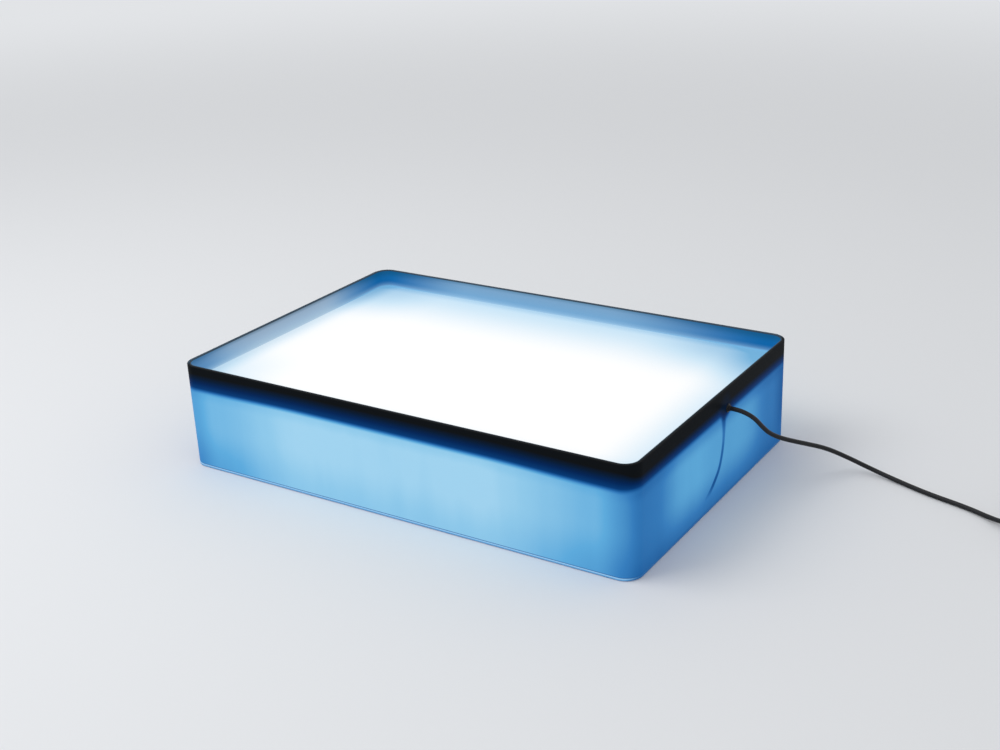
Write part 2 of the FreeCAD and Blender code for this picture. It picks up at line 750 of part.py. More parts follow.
# Driver unit: case with a board on two ribs, a wound coil on the board, lid and two screws
case = slab("case", "driver_length", "driver_width", "driver_corner_radius", "0", "driver_height - driver_lid")
case_hollow = new_sketch(case, "case_hollow", "XY_Plane", "driver_height - driver_lid")
rounded_outline(
    case_hollow, "driver_length - 2 * driver_wall", "driver_width - 2 * driver_wall",
    "driver_corner_radius - driver_wall",
)
pocket(case, case_hollow, "driver_height - driver_lid - driver_wall")
case_ribs = new_sketch(case, "case_ribs", "XY_Plane", "driver_wall")
for side in ENDS:
    rib_x = f"{side} * driver_length / 4"
    square_outline(
        case_ribs, f"{rib_x} - driver_rib_width / 2", f"{rib_x} + driver_rib_width / 2",
        "-(driver_width / 2 - driver_wall)", "driver_width / 2 - driver_wall",
    )
pad(case, case_ribs, "driver_board_rise")
DRIVER_POST_X = "(driver_length / 2 - driver_wall / 2 - driver_post_radius)"
case_posts = new_sketch(case, "case_posts", "XY_Plane", "driver_wall")
circles(case_posts, [(DRIVER_POST_X, "0"), (f"-{DRIVER_POST_X}", "0")], "driver_post_radius")
pad(case, case_posts, "driver_height - driver_lid - driver_wall")
case_bores = new_sketch(case, "case_bores", "XY_Plane", "driver_height - driver_lid")
circles(case_bores, [(DRIVER_POST_X, "0"), (f"-{DRIVER_POST_X}", "0")], "driver_screw_radius + hole_clearance")
pocket(case, case_bores, "driver_height / 2")
place(case, DRIVER_X, "-driver_offset", REFLECTOR_TOP)
node(case, "driver_case")

lid = slab("lid", "driver_length", "driver_width", "driver_corner_radius", "0", "driver_lid")
lid_holes = new_sketch(lid, "lid_holes", "XY_Plane", "driver_lid")
circles(lid_holes, [(DRIVER_POST_X, "0"), (f"-{DRIVER_POST_X}", "0")], "driver_screw_radius + hole_clearance")
pocket(lid, lid_holes, "driver_lid + overrun")
place(lid, DRIVER_X, "-driver_offset", f"{REFLECTOR_TOP} + driver_height - driver_lid")
node(lid, "driver_lid")

node(
    group(
        "screws_in_driver",
        [
            rod(f"driver_screw_{k}", "driver_screw_radius", "driver_height / 3",
                f"{DRIVER_X} + {side} * {DRIVER_POST_X}", "-driver_offset",
                f"{REFLECTOR_TOP} + driver_height - driver_height / 3")
            for k, side in enumerate(ENDS)
        ],
    ),
    "driver_screws",
)
BOARD_BOTTOM = f"{REFLECTOR_TOP} + driver_wall + driver_board_rise"
BOARD_LENGTH = "(driver_length - 2 * driver_wall - 4 * driver_post_radius - 2 * driver_board_margin)"
node(
    fuse(
        "driver_circuit",
        block("driver_card", BOARD_LENGTH, "driver_width - 2 * driver_wall - 2 * driver_board_margin",
              "driver_board_thickness", DRIVER_X, "-driver_offset", BOARD_BOTTOM),
        block("driver_winding", "driver_coil_side", "driver_coil_side", "driver_coil_height",
              DRIVER_X, "-driver_offset", f"{BOARD_BOTTOM} + driver_board_thickness"),
    ),
    "driver_board",
)

# Lead inside the tub, from the gland down beside the wall to the driver
gland_y, gland_z = size("gland_offset"), size(GLAND_HEIGHT)
driver_y, driver_z = size("-driver_offset"), size(f"{REFLECTOR_TOP} + inner_lead_height")
INNER_LEAD_SHARES = [
    (0, 0, 0),
    (0.16, 0, 0),
    (0.297, 0, 0.041),
    (0.294, -0.004, 0.130),
    (0.211, -0.018, 0.245),
    (0.054, -0.029, 0.391),
    (-0.054, -0.012, 0.557),
    (-0.061, 0.066, 0.708),
    (-0.004, 0.221, 0.828),
    (0.118, 0.441, 0.916),
    (0.276, 0.676, 0.970),
    (0.462, 0.875, 0.993),
    (0.692, 1, 1),
    (1, 1, 1),
]


def between(start, end, shares):
    """A route whose points are shares of the way from its start to its end, along X, Y and Z apart."""
    return [tuple(a + (b - a) * share for a, b, share in zip(start, end, row)) for row in shares]


inner_start = (size(SLEEVE_END), gland_y, gland_z)
inner_end = (size(f"{DRIVER_X} + driver_length / 2"), driver_y, driver_z)
inner_route = between(inner_start, inner_end, INNER_LEAD_SHARES)
node(tube("inner_lead_tube", inner_route, size("inner_lead_diameter"))[0], "inner_lead")

# Output wire from the driver to the second strip
OUTPUT_WIRE_SHARES = [
    (0, 0, 0),
    (0.32, 0, 0),
    (0.61, 0.26, -0.08),
    (0.87, 0.71, -0.06),
    (1, 1, 0.27),
    (1, 1, 1),
]
wire_start = (size(f"{DRIVER_X} - driver_length / 2"), driver_y, driver_z)
wire_end = (size(f"{STRIP_END} - wire_margin"), size(f"{strip_lines()[1]} - wire_land / 2"), size(STRIP_TOP))
output_route = between(wire_start, wire_end, OUTPUT_WIRE_SHARES)
node(tube("output_wire_tube", output_route, 2 * size("wire_radius"))[0], "driver_output_wire")

# Supply lead, from the sleeve down to the table and along it to the switch
lead_diameter = size("lead_diameter")
on_table = lead_diameter / 2 + 0.05 * lead_diameter
switch_left = size("switch_reach - switch_length / 2 - collar_length")
switch_right = size("switch_reach + switch_length / 2 + collar_length")
switch_y, switch_z = size("switch_offset"), size("switch_base_height")
LEAD_TO_SWITCH = [
    (size(SLEEVE_TIP), gland_y, gland_z),
    (309.6, gland_y, gland_z),
    (315.8, 24.4, 105.0),
    (321.0, 27.2, 102.0),
    (324.9, 31.0, 98.0),
    (328.0, 36.8, 91.9),
    (331.6, 45.9, 80.9),
    (336.4, 56.2, 69.6),
    (345.8, 70.4, 59.6),
    (361.0, 92.4, 48.4),
    (378.6, 119.2, 35.0),
    (397.0, 138.6, 19.6),
    (424.0, 146.4, 7.0),
    (455.0, 139.6, on_table),
    (497.0, 123.2, on_table),
    (541.0, 111.6, on_table),
    (570.0, 98.2, 3.6),
    (584.0, 88.4, 7.0),
    (596.0, switch_y, switch_z),
    (switch_left, switch_y, switch_z),
]
lead_one, lead_one_length = tube("lead_to_switch_tube", LEAD_TO_SWITCH, lead_diameter)
node(lead_one, "lead_to_switch")

# Supply lead, from the switch round to the coil
coil_x, coil_y = size("coil_reach"), size("coil_offset")
coil_outer, coil_inner = size(COIL_OUTER), size(COIL_INNER)
low_layer, high_layer = size(COIL_LIFT), size(COIL_TOP_LAYER)
coil_start = V(coil_x + coil_outer, coil_y - lead_diameter, low_layer)
LEAD_TO_COIL = [
    (switch_right, switch_y, switch_z),
    (685.0, switch_y, switch_z),
    (695.0, 88.6, 7.4),
    (703.2, 95.8, 5.9),
    (708.6, 106.4, 4.9),
    (711.4, 121.2, 4.3),
    (712.6, 140.6, 4.0),
    (712.4, 160.8, 3.9),
    (coil_start.x, 180.4, low_layer),
    tuple(coil_start),
]
lead_two, lead_two_length = tube("lead_to_coil_tube", LEAD_TO_COIL, lead_diameter)
node(lead_two, "lead_to_coil")

# Put-away coil: it winds in on the table, climbs a layer in its innermost half turn and winds out again
coil_turns = size("coil_layer_turns")
coil_step = size(COIL_STEP)


def coil_radius(turn):
    return coil_inner + coil_step * abs(turn - coil_turns)


def coil_height(turn):
    climb = min(max((turn - coil_turns) * 2 + 0.5, 0), 1)
    return low_layer + (high_layer - low_layer) * climb * climb * (3 - 2 * climb)


def coil_point(turn):
    angle = 2 * math.pi * turn
    radius = coil_radius(turn)
    return V(coil_x + radius * math.cos(angle), coil_y + radius * math.sin(angle), coil_height(turn))


def coil_way(turn):
    """The direction of the lead at a place in the coil, level where the lead enters and leaves."""
    step = 1e-4
    way = coil_point(turn + step) - coil_point(turn - step)
    way.normalize()
    return way


knots = [k / 4 for k in range(int(round(8 * coil_turns)) + 1)]
coil_places = [coil_point(k) for k in knots]
coil_ways = [coil_way(k) for k in knots]
coil_ways[0] = V(0, 1, 0)
coil_ways[-1] = V(0, -1, 0)
coil_end = coil_places[-1] + coil_ways[-1] * lead_diameter
coil_edges = [Part.LineSegment(coil_start, coil_places[0]).toShape()]
for k in range(len(knots) - 1):
    coil_edges += biarc(coil_places[k], coil_ways[k], coil_places[k + 1], coil_ways[k + 1])
coil_edges.append(Part.LineSegment(coil_places[-1], coil_end).toShape())
coil_wire = Part.Wire(coil_edges)
coil_solid = pipe(coil_wire, lead_diameter / 2, coil_start, V(0, 1, 0))
coil_share = coil_solid.Volume / (math.pi * lead_diameter**2 / 4 * coil_wire.Length)
samples = coil_wire.discretize(Number=1400)
reach = int(4 * lead_diameter / (coil_wire.Length / len(samples)))
least = min(a.distanceToPoint(b) for k, a in enumerate(samples) for b in samples[k + reach:])
print(f"coil: {coil_wire.Length:.1f} mm, volume share {coil_share:.4f}, least gap {least - lead_diameter:.2f} mm")
print("coil arc radii", sorted({round(e.Curve.Radius, 1) for e in coil_edges if hasattr(e.Curve, "Radius")}))
node(feature("coil", coil_solid), "lead_coil")

# Strap round the coil's turns, a quarter turn in from each end of the lead
TIE_NEAR = f"(sqrt(({COIL_INNER} - lead_diameter / 2)^2 - (tie_width / 2)^2) - tie_clearance)"
TIE_FAR = f"({COIL_OUTER} - {COIL_STEP} / 4 + lead_diameter / 2 + tie_clearance)"
tie_span = f"({TIE_FAR} - {TIE_NEAR})"
tie_rise = f"(lead_diameter + {COIL_STEP} + 2 * tie_clearance)"
tie_y = f"(coil_offset + ({TIE_FAR} + {TIE_NEAR}) / 2)"
node(
    cut(
        "tie",
        block("tie_outside", "tie_width", f"{tie_span} + 2 * tie_thickness", f"{tie_rise} + 2 * tie_thickness",
              "coil_reach", tie_y, "0"),
        block("tie_inside", "tie_width + 2 * overrun", tie_span, tie_rise, "coil_reach", tie_y, "tie_thickness"),
    ),
    "coil_tie",
)

# In-line switch
base = slab(
    "base", "switch_length", "switch_width", "switch_corner_radius", "0", "switch_base_height",
    "switch_edge_radius", ("0",),
)
base_hollow = new_sketch(base, "base_hollow", "XY_Plane", "switch_base_height")
SWITCH_HOLLOW = (
    "switch_length - 2 * switch_wall", "switch_width - 2 * switch_wall", "switch_corner_radius - switch_wall",
)
rounded_outline(base_hollow, *SWITCH_HOLLOW)
pocket(base, base_hollow, "switch_base_height - switch_wall")
SWITCH_POSTS = [
    ("(switch_length / 2 - switch_wall - switch_screw_margin)", "0"),
    ("-(switch_length / 2 - switch_wall - switch_screw_margin)", "0"),
]
base_posts = new_sketch(base, "base_posts", "XY_Plane", "switch_wall")
circles(base_posts, SWITCH_POSTS, "switch_post_radius")
pad(base, base_posts, "switch_base_height - switch_wall")
base_bores = new_sketch(base, "base_bores", "XY_Plane", "switch_base_height")
circles(base_bores, SWITCH_POSTS, "switch_screw_radius + hole_clearance")
pocket(base, base_bores, "switch_base_height + overrun")
base_sinks = new_sketch(base, "base_sinks", "XY_Plane", "switch_screw_head_depth + hole_clearance")
circles(base_sinks, SWITCH_POSTS, "switch_screw_head_radius + hole_clearance")
pocket(base, base_sinks, "switch_screw_head_depth + hole_clearance + overrun")
place(base, "switch_reach", "switch_offset", "0")
COLLAR_TIP = "(switch_length / 2 + collar_length)"
node(
    fuse(
        "base_with_collars",
        base,
        taper("collar_in", "collar_tip_radius", "collar_root_radius", "collar_length",
              f"switch_reach - {COLLAR_TIP}", "switch_offset", "switch_base_height", ALONG_X),
        taper("collar_out", "collar_root_radius", "collar_tip_radius", "collar_length",
              "switch_reach + switch_length / 2", "switch_offset", "switch_base_height", ALONG_X),
    ),
    "switch_base",
)

cover = slab(
    "shell", "switch_length", "switch_width", "switch_corner_radius", "0", "switch_cover_height",
    "switch_edge_radius", ("switch_cover_height",),
)
cover_hollow = new_sketch(cover, "shell_hollow", "XY_Plane", "0")
rounded_outline(cover_hollow, *SWITCH_HOLLOW)
pocket(cover, cover_hollow, "switch_cover_height - switch_wall", upward=True)
cover_posts = new_sketch(cover, "shell_posts", "XY_Plane", "0")
circles(cover_posts, SWITCH_POSTS, "switch_post_radius")
EAR_INNER = "(rocker_width / 2 + hole_clearance * 3)"
pad(cover, cover_posts, "switch_cover_height - switch_wall / 2")
cover_ears = new_sketch(cover, "shell_ears", "XY_Plane", "switch_cover_height - axle_drop - ear_radius")
for side in ("1", "-1"):
    near, far = f"{side} * {EAR_INNER}", f"{side} * ({EAR_INNER} + ear_thickness)"
    low, high = (near, far) if side == "1" else (far, near)
    square_outline(cover_ears, "-ear_radius", "ear_radius", low, high)
pad(cover, cover_ears, "axle_drop + ear_radius - switch_wall / 2")
cover_window = new_sketch(cover, "shell_window", "XY_Plane", "switch_cover_height")
WINDOW_X, WINDOW_Y = "(rocker_length / 2 + window_end_gap)", "(rocker_width / 2 + window_side_gap)"
square_outline(cover_window, f"-{WINDOW_X}", WINDOW_X, f"-{WINDOW_Y}", WINDOW_Y)
pocket(cover, cover_window, "switch_wall + overrun")
cover_bores = new_sketch(cover, "shell_bores", "XY_Plane", "0")
circles(cover_bores, SWITCH_POSTS, "switch_screw_radius + hole_clearance")
pocket(cover, cover_bores, "switch_cover_height - 2 * switch_wall", upward=True)
axle_hole = new_sketch(cover, "shell_axle_hole", "XZ_Plane", f"{EAR_INNER} + ear_thickness + overrun")
circles(axle_hole, [("0", "switch_cover_height - axle_drop")], "axle_radius + axle_clearance")
pocket(cover, axle_hole, f"2 * ({EAR_INNER} + ear_thickness + overrun)")
place(cover, "switch_reach", "switch_offset", "switch_base_height")
node(cover, "switch_cover")

node(
    group(
        "screws_in_switch",
        [
            fuse(
                f"switch_screw_{k}",
                rod(f"switch_screw_shank_{k}", "switch_screw_radius", "switch_base_height + switch_cover_height / 3",
                    f"switch_reach + {x}", "switch_offset", "hole_clearance"),
                rod(f"switch_screw_head_{k}", "switch_screw_head_radius", "switch_screw_head_depth",
                    f"switch_reach + {x}", "switch_offset", "hole_clearance"),
            )
            for k, (x, y) in enumerate(SWITCH_POSTS)
        ],
    ),
    "switch_screws",
)
node(
    rod("axle", "axle_radius", f"2 * ({EAR_INNER} + ear_thickness) - hole_clearance",
        "switch_reach", f"switch_offset - {EAR_INNER} - ear_thickness + hole_clearance / 2", AXLE_HEIGHT, ALONG_Y),
    "rocker_axle",
)
node(
    group(
        "contacts",
        [
            fuse(
                f"contact_{k}",
                block(f"contact_foot_{k}", "contact_length", "contact_width", "contact_thickness",
                      f"switch_reach + {side} * contact_spread", "switch_offset", "switch_wall"),
                block(f"contact_blade_{k}", "contact_thickness", "contact_width", "contact_height",
                      f"switch_reach + {side} * contact_spread", "switch_offset", "switch_wall"),
            )
            for k, side in enumerate(("1", "-1"))
        ],
    ),
    "switch_contacts",
)

# Rocker: a shallow V along the switch, on a hub that turns on the axle, resting with one end down
rocker_half, rocker_across = size("rocker_length / 2"), size("rocker_width")
rocker_top, rocker_valley = size("rocker_end_height"), size("rocker_end_height - rocker_dip")
rocker_keel = size("rocker_keel")
hub_radius = size("rocker_hub_radius")
rocker_outline = [
    V(-rocker_half, 0, 0),
    V(-rocker_half, 0, rocker_top),
    V(0, 0, rocker_valley),
    V(rocker_half, 0, rocker_top),
    V(rocker_half, 0, 0),
    V(hub_radius, 0, -hub_radius),
    V(-hub_radius, 0, -hub_radius),
]
rocker_face = Part.Face(Part.makePolygon(rocker_outline + rocker_outline[:1]))
rocker_solid = rocker_face.extrude(V(0, rocker_across, 0))
rocker_solid.translate(V(0, -rocker_across / 2, 0))
rocker_bore = Part.makeCylinder(
    size("axle_radius + axle_clearance"), 2 * rocker_across, V(0, -rocker_across, 0), V(0, 1, 0)
)
rocker_solid = rocker_solid.cut(rocker_bore)
rocker_spot = FreeCAD.Placement(
    V(size("switch_reach"), size("switch_offset"), size(AXLE_HEIGHT)),
    FreeCAD.Rotation(V(0, 1, 0), size("rocker_angle")),
)
node(feature("rocker", rocker_solid, rocker_spot), "switch_rocker")

# Power adaptor, on its back beside the coil with its pins up
ADAPTOR_X = f"(coil_reach - {COIL_OUTER})"
ADAPTOR_END = "(coil_offset - lead_diameter - adaptor_sleeve_length)"
ADAPTOR_Y = f"({ADAPTOR_END} - adaptor_length / 2)"
HALF_HEIGHT = "(adaptor_height / 2)"
adaptor_outline = ("adaptor_width", "adaptor_length", "adaptor_corner_radius")
adaptor_hollow = (
    "adaptor_width - 2 * adaptor_wall", "adaptor_length - 2 * adaptor_wall", "adaptor_corner_radius - adaptor_wall",
)
lower = slab("lower", *adaptor_outline, "0", HALF_HEIGHT, "adaptor_edge_radius", ("0",))
lower_hollow = new_sketch(lower, "lower_hollow", "XY_Plane", HALF_HEIGHT)
rounded_outline(lower_hollow, *adaptor_hollow)
pocket(lower, lower_hollow, f"{HALF_HEIGHT} - adaptor_wall")
lower_ribs = new_sketch(lower, "lower_ribs", "XY_Plane", "adaptor_wall")
for side in ("1", "-1"):
    rib_y = f"{side} * (adaptor_length / 4)"
    square_outline(
        lower_ribs, "-(adaptor_width / 2 - adaptor_wall)", "adaptor_width / 2 - adaptor_wall",
        f"{rib_y} - adaptor_rib_width / 2", f"{rib_y} + adaptor_rib_width / 2",
    )
pad(lower, lower_ribs, "adaptor_rib_height")
place(lower, ADAPTOR_X, ADAPTOR_Y, "0")
node(lower, "adaptor_lower_shell")

upper = slab("upper", *adaptor_outline, "0", HALF_HEIGHT, "adaptor_edge_radius", (HALF_HEIGHT,))
upper_hollow = new_sketch(upper, "upper_hollow", "XY_Plane", "0")
rounded_outline(upper_hollow, *adaptor_hollow)
pocket(upper, upper_hollow, f"{HALF_HEIGHT} - adaptor_wall", upward=True)
upper_holes = new_sketch(upper, "upper_pin_holes", "XY_Plane", HALF_HEIGHT)
PIN_Y = "-(adaptor_length / 2 - pin_setback)"
circles(
    upper_holes, [("pin_spacing / 2", PIN_Y), ("-(pin_spacing / 2)", PIN_Y)], "pin_radius + hole_clearance"
)
pocket(upper, upper_holes, "adaptor_wall + overrun")
place(upper, ADAPTOR_X, ADAPTOR_Y, HALF_HEIGHT)
node(upper, "adaptor_upper_shell")

node(
    group(
        "pins",
        [
            rod(f"pin_{k}", "pin_radius", "pin_length + pin_root",
                f"{ADAPTOR_X} + {side} * pin_spacing / 2", f"{ADAPTOR_Y} + {PIN_Y}", "adaptor_height - pin_root")
            for k, side in enumerate(("1", "-1"))
        ],
    ),
    "adaptor_pins",
)
ADAPTOR_BOARD = "(adaptor_wall + adaptor_rib_height)"
node(
    block("adaptor_circuit", "adaptor_width - 2 * adaptor_wall - 2 * adaptor_board_margin",
          "adaptor_length - 2 * adaptor_wall - 2 * adaptor_board_margin - adaptor_corner_radius",
          "adaptor_board_thickness", ADAPTOR_X, ADAPTOR_Y, ADAPTOR_BOARD),
    "adaptor_board",
)
node(
    block("winding", "transformer_length", "transformer_width", "transformer_height",
          ADAPTOR_X, f"{ADAPTOR_Y} + adaptor_length / 6", f"{ADAPTOR_BOARD} + adaptor_board_thickness"),
    "adaptor_transformer",
)
node(
    taper("adaptor_nose", "adaptor_sleeve_root", "adaptor_sleeve_tip", "adaptor_sleeve_length",
          ADAPTOR_X, ADAPTOR_END, COIL_TOP_LAYER, ALONG_Y),
    "adaptor_sleeve",
)

# Check every object and every piece, then write one file for each piece
doc.recompute()
faulty = [o.Name for o in doc.Objects if {"Invalid", "Error"} & set(o.State)]
faulty += [n.Label for n in nodes if n.Shape.isNull() or not n.Shape.isValid() or not n.Shape.Solids]
if faulty:
    raise RuntimeError(f"these objects failed: {faulty}")
names = [n.Label for n in nodes]
if len(set(names)) != len(names):
    raise RuntimeError("two pieces share a name")
whole_length = lead_one_length + switch_right - switch_left + lead_two_length + coil_wire.Length
print(f"supply lead: {whole_length:.0f} mm")
os.makedirs("parts", exist_ok=True)
for piece in nodes:
    piece.Shape.exportStep(f"parts/{piece.Label}.step")
print(len(nodes), "pieces")
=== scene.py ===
import math

import bmesh
import bpy
from mathutils import Matrix, Quaternion, Vector


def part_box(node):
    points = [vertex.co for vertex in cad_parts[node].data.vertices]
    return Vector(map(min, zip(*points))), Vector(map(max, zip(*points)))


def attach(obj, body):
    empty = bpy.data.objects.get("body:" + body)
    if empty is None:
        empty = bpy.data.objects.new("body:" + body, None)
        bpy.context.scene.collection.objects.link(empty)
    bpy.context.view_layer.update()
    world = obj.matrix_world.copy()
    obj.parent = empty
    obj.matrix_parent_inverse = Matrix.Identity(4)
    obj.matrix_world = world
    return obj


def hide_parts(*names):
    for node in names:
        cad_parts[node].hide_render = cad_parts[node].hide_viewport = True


bl_info = {
    "name": "Classroom Light Box",
    "version": (1, 0, 0),
    "blender": (4, 5, 0),
    "location": "3D View > Sidebar > Light Box",
    "description": "Makes a lit classroom box with its rim, tray, supply lead, switch and adaptor",
    "category": "Object",
}

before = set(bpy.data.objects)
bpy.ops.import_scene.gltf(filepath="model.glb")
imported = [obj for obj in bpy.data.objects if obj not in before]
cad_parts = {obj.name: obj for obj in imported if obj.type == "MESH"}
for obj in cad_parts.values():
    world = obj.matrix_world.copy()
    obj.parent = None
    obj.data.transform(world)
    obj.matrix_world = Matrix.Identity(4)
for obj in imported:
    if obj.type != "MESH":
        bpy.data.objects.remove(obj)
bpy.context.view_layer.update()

MM = 0.001
TUB_LOW, TUB_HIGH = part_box("translucent_tub")
TRIM_LOW, TRIM_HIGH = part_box("edge_trim")
PLATE_LOW, PLATE_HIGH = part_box("base_plate")
GASKET_LOW, GASKET_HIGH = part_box("base_gasket")
FRAME_LOW, FRAME_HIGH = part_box("blackout_frame")
WALL_LOW, WALL_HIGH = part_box("tray_wall")
BUSH_LOW, BUSH_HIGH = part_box("gland_bush")
SLEEVE_LOW, SLEEVE_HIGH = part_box("lead_sleeve")
ENTRY = (BUSH_LOW + BUSH_HIGH) / 2
HALF_X, HALF_Y = TUB_HIGH.x, TUB_HIGH.y
LAMP_ROWS = range(1, 6)


# Properties
def linear(step):
    """One channel of a screen colour, from 0 to 255, as Blender's linear light."""
    part = step / 255
    return part / 12.92 if part <= 0.04045 else ((part + 0.055) / 1.055) ** 2.4


def screen(red, green, blue):
    """A screen colour as linear light."""
    return (linear(red), linear(green), linear(blue))


def span(name, description, millimetres):
    return bpy.props.FloatProperty(
        name=name, description=description, default=millimetres * MM, min=0, unit="LENGTH", precision=5
    )


def angle(name, description, degrees):
    return bpy.props.FloatProperty(
        name=name, description=description, default=math.radians(degrees), unit="ROTATION"
    )


def share(name, description, default):
    return bpy.props.FloatProperty(
        name=name, description=description, default=default, min=0, max=1, subtype="FACTOR"
    )


def count(name, description, default):
    return bpy.props.IntProperty(name=name, description=description, default=default, min=1)


def position(name, description, *millimetres):
    return bpy.props.FloatVectorProperty(
        name=name, description=description, default=[step * MM for step in millimetres], size=3,
        subtype="XYZ", unit="LENGTH",
    )


def colour(name, description, red, green, blue):
    return bpy.props.FloatVectorProperty(
        name=name, description=description, default=screen(red, green, blue), size=3, min=0, max=1,
        subtype="COLOR",
    )


def group(kind, name, description):
    return bpy.props.PointerProperty(type=kind, name=name, description=description)


class BoxSizes(bpy.types.PropertyGroup):
    corner_radius: span("Corner radius", "Radius of the box's upright corners", 20)
    corner_steps: count("Corner steps", "Facets in each upright corner", 32)
    skin: span("Skin", "Thickness of the lit tub's wall", 2.2)
    skin_edge: span("Skin edge", "Rounding at the foot of the lit wall", 0.35)
    flange: span("Flange", "Width of the tub's foot flange inside the skin", 14)
    flange_height: span("Flange height", "Thickness of the foot flange", 3)
    flange_root: span("Flange root", "Fillet between flange and skin", 0.8)
    flange_edge: span("Flange edge", "Rounding of the flange's inner edge", 0.4)
    seam_width: span("Seam width", "Width of the gasket in the seam", 14)
    seam_edge: span("Seam edge", "Rounding of the gasket's outer edges", 0.15)
    plate_edge: span("Plate edge", "Rounding of the base plate's edge", 0.5)
    frame_leg: span("Frame leg", "Thickness of the black frame behind the skin", 0.7)
    frame_ledge: span("Frame ledge", "Width of the ledge that carries the tray", 9)
    frame_ledge_height: span("Ledge height", "Thickness of the ledge", 1.5)
    frame_edge: span("Frame edge", "Rounding of the ledge's edges", 0.3)
    wall: span("Tray wall", "Thickness of the tray's upstand", 1.3)
    wall_edge: span("Wall edge", "Rounding of the upstand's top", 0.45)
    rim_edge: span("Rim edge", "Rounding of the rim's outer edge", 0.6)
    notch: span("Notch", "Width of the tray's notch for the cable entry", 13)
    notch_depth: span("Notch depth", "Depth of that notch from the black frame", 15.3)
    notch_clearance: span("Notch clearance", "How far the notch reaches over the ledge", 0.2)
    slot_height: span("Slot height", "Height of the notch in the upstand", 5.5)
    cover_wall: span("Cover wall", "Thickness of the cover over the cable entry", 1.2)
    cover_edge: span("Cover edge", "Rounding of the cover's top", 1.6)
    cover_corner: span("Cover corner", "Radius of the cover's corners", 2.2)
    overrun: span("Overrun", "How far cutters reach past what they cut", 1)


class GlowColours(bpy.types.PropertyGroup):
    glow: share("Own light", "Share of the lit skin's colour that is its own light", 0.6)
    tray_glow: share("Tray's own light", "The same for the tray's wall, the plate and the seam", 0.5)
    surface_glow: share("Surface's own light", "The same for the light surface", 0.72)
    black: colour("Black", "The band where no light gets through", 16, 19, 22)
    band_low: colour("Band, deep", "The band with a trace of light in it", 9, 29, 54)
    band_middle: colour("Band, middle", "The band's dark blue", 4, 39, 88)
    band_high: colour("Band, low edge", "The band's blue just above the lit wall", 7, 60, 120)
    dusk: colour("Dusk", "The first light below the band", 28, 95, 162)
    shade: colour("Shade", "The end walls away from the lamps", 58, 132, 198)
    middle: colour("Middle", "The wall near its corners", 98, 177, 227)
    bright: colour("Bright", "The broad middle of the long walls", 148, 207, 240)
    peak: colour("Peak", "The brightest part of the wall", 166, 217, 245)
    surface: colour("Light surface", "The middle of the lit surface", 255, 255, 255)
    surface_edge: colour("Surface edge", "The lit surface beside the wall", 205, 231, 247)
    surface_far: colour("Surface corner", "The lit surface in its dimmest corner", 120, 182, 222)
    # The upstand's colours are painted light from the glowing surface: bright at its foot, greyer upwards,
    # with painted shade in the corners and on the top edge.
    wall_foot: colour("Wall foot", "The upstand just above the surface", 170, 208, 236)
    wall_middle: colour("Wall middle", "The upstand's middle", 122, 172, 212)
    wall_top: colour("Wall top", "The upstand below its edge", 100, 142, 174)
    # Painted shade: the deep blue in the upstand's corners.
    wall_corner_shade: colour("Wall corner", "The upstand in the corners", 14, 108, 174)
    # Painted shade on the upstand's top edge.
    top_edge_shade: colour("Edge grey", "The upstand's top edge", 48, 60, 70)
    # Painted light: the seam's blue is the lit walls' light on the dark gasket.
    seam: colour("Seam", "The gasket in the seam", 58, 112, 168)
    plate: colour("Plate edge", "The lit edge of the base plate", 104, 172, 224)


class EntrySizes(bpy.types.PropertyGroup):
    hole: span("Hole", "Radius of the hole in the end wall", 3.9)
    hole_reach: span("Hole reach", "How far the hole's cutter reaches to both sides of the wall", 15)
    bore: span("Bore", "Inner radius of the bush", 2.9)
    barrel: span("Barrel", "Radius of the bush in the wall", 3.8)
    flange: span("Flange", "Radius of the bush outside the wall", 5)
    edge: span("Edge", "Size of the rounding on the bush and the sleeve", 1)
    core: span("Sleeve", "Radius of the lead's sleeve", 2.8)
    nose: span("Sleeve nose", "Radius of the sleeve's first ring", 3.5)
    rings: count("Sleeve rings", "Rings on the sleeve outside the bush", 3)


class ScrewSizes(bpy.types.PropertyGroup):
    base_head: span("Base screw head", "Head radius of the screws under the box", 2.9)
    base_depth: span("Base head depth", "Height of those screws' heads", 1.6)
    base_shank: span("Base screw shank", "Shank radius of those screws", 1.5)
    base_hole: span("Base screw hole", "Radius of the holes for those screws", 1.6)
    sink_gap: span("Countersink gap", "Space round a countersunk head", 0.05)
    strip_head: span("Strip screw head", "Head radius of the screws on the lamp strips", 2.6)
    strip_depth: span("Strip head depth", "Height of those screws' heads", 1.8)
    strip_shank: span("Strip screw shank", "Shank radius of those screws", 1.4)
    strip_hole: span("Strip screw hole", "Radius of the plate's holes for those screws", 1.5)
    switch_head: span("Switch screw head", "Head radius of the switch's screws", 2)
    switch_depth: span("Switch head depth", "Height of those screws' heads", 1.2)
    switch_shank: span("Switch screw shank", "Shank radius of those screws", 1.1)


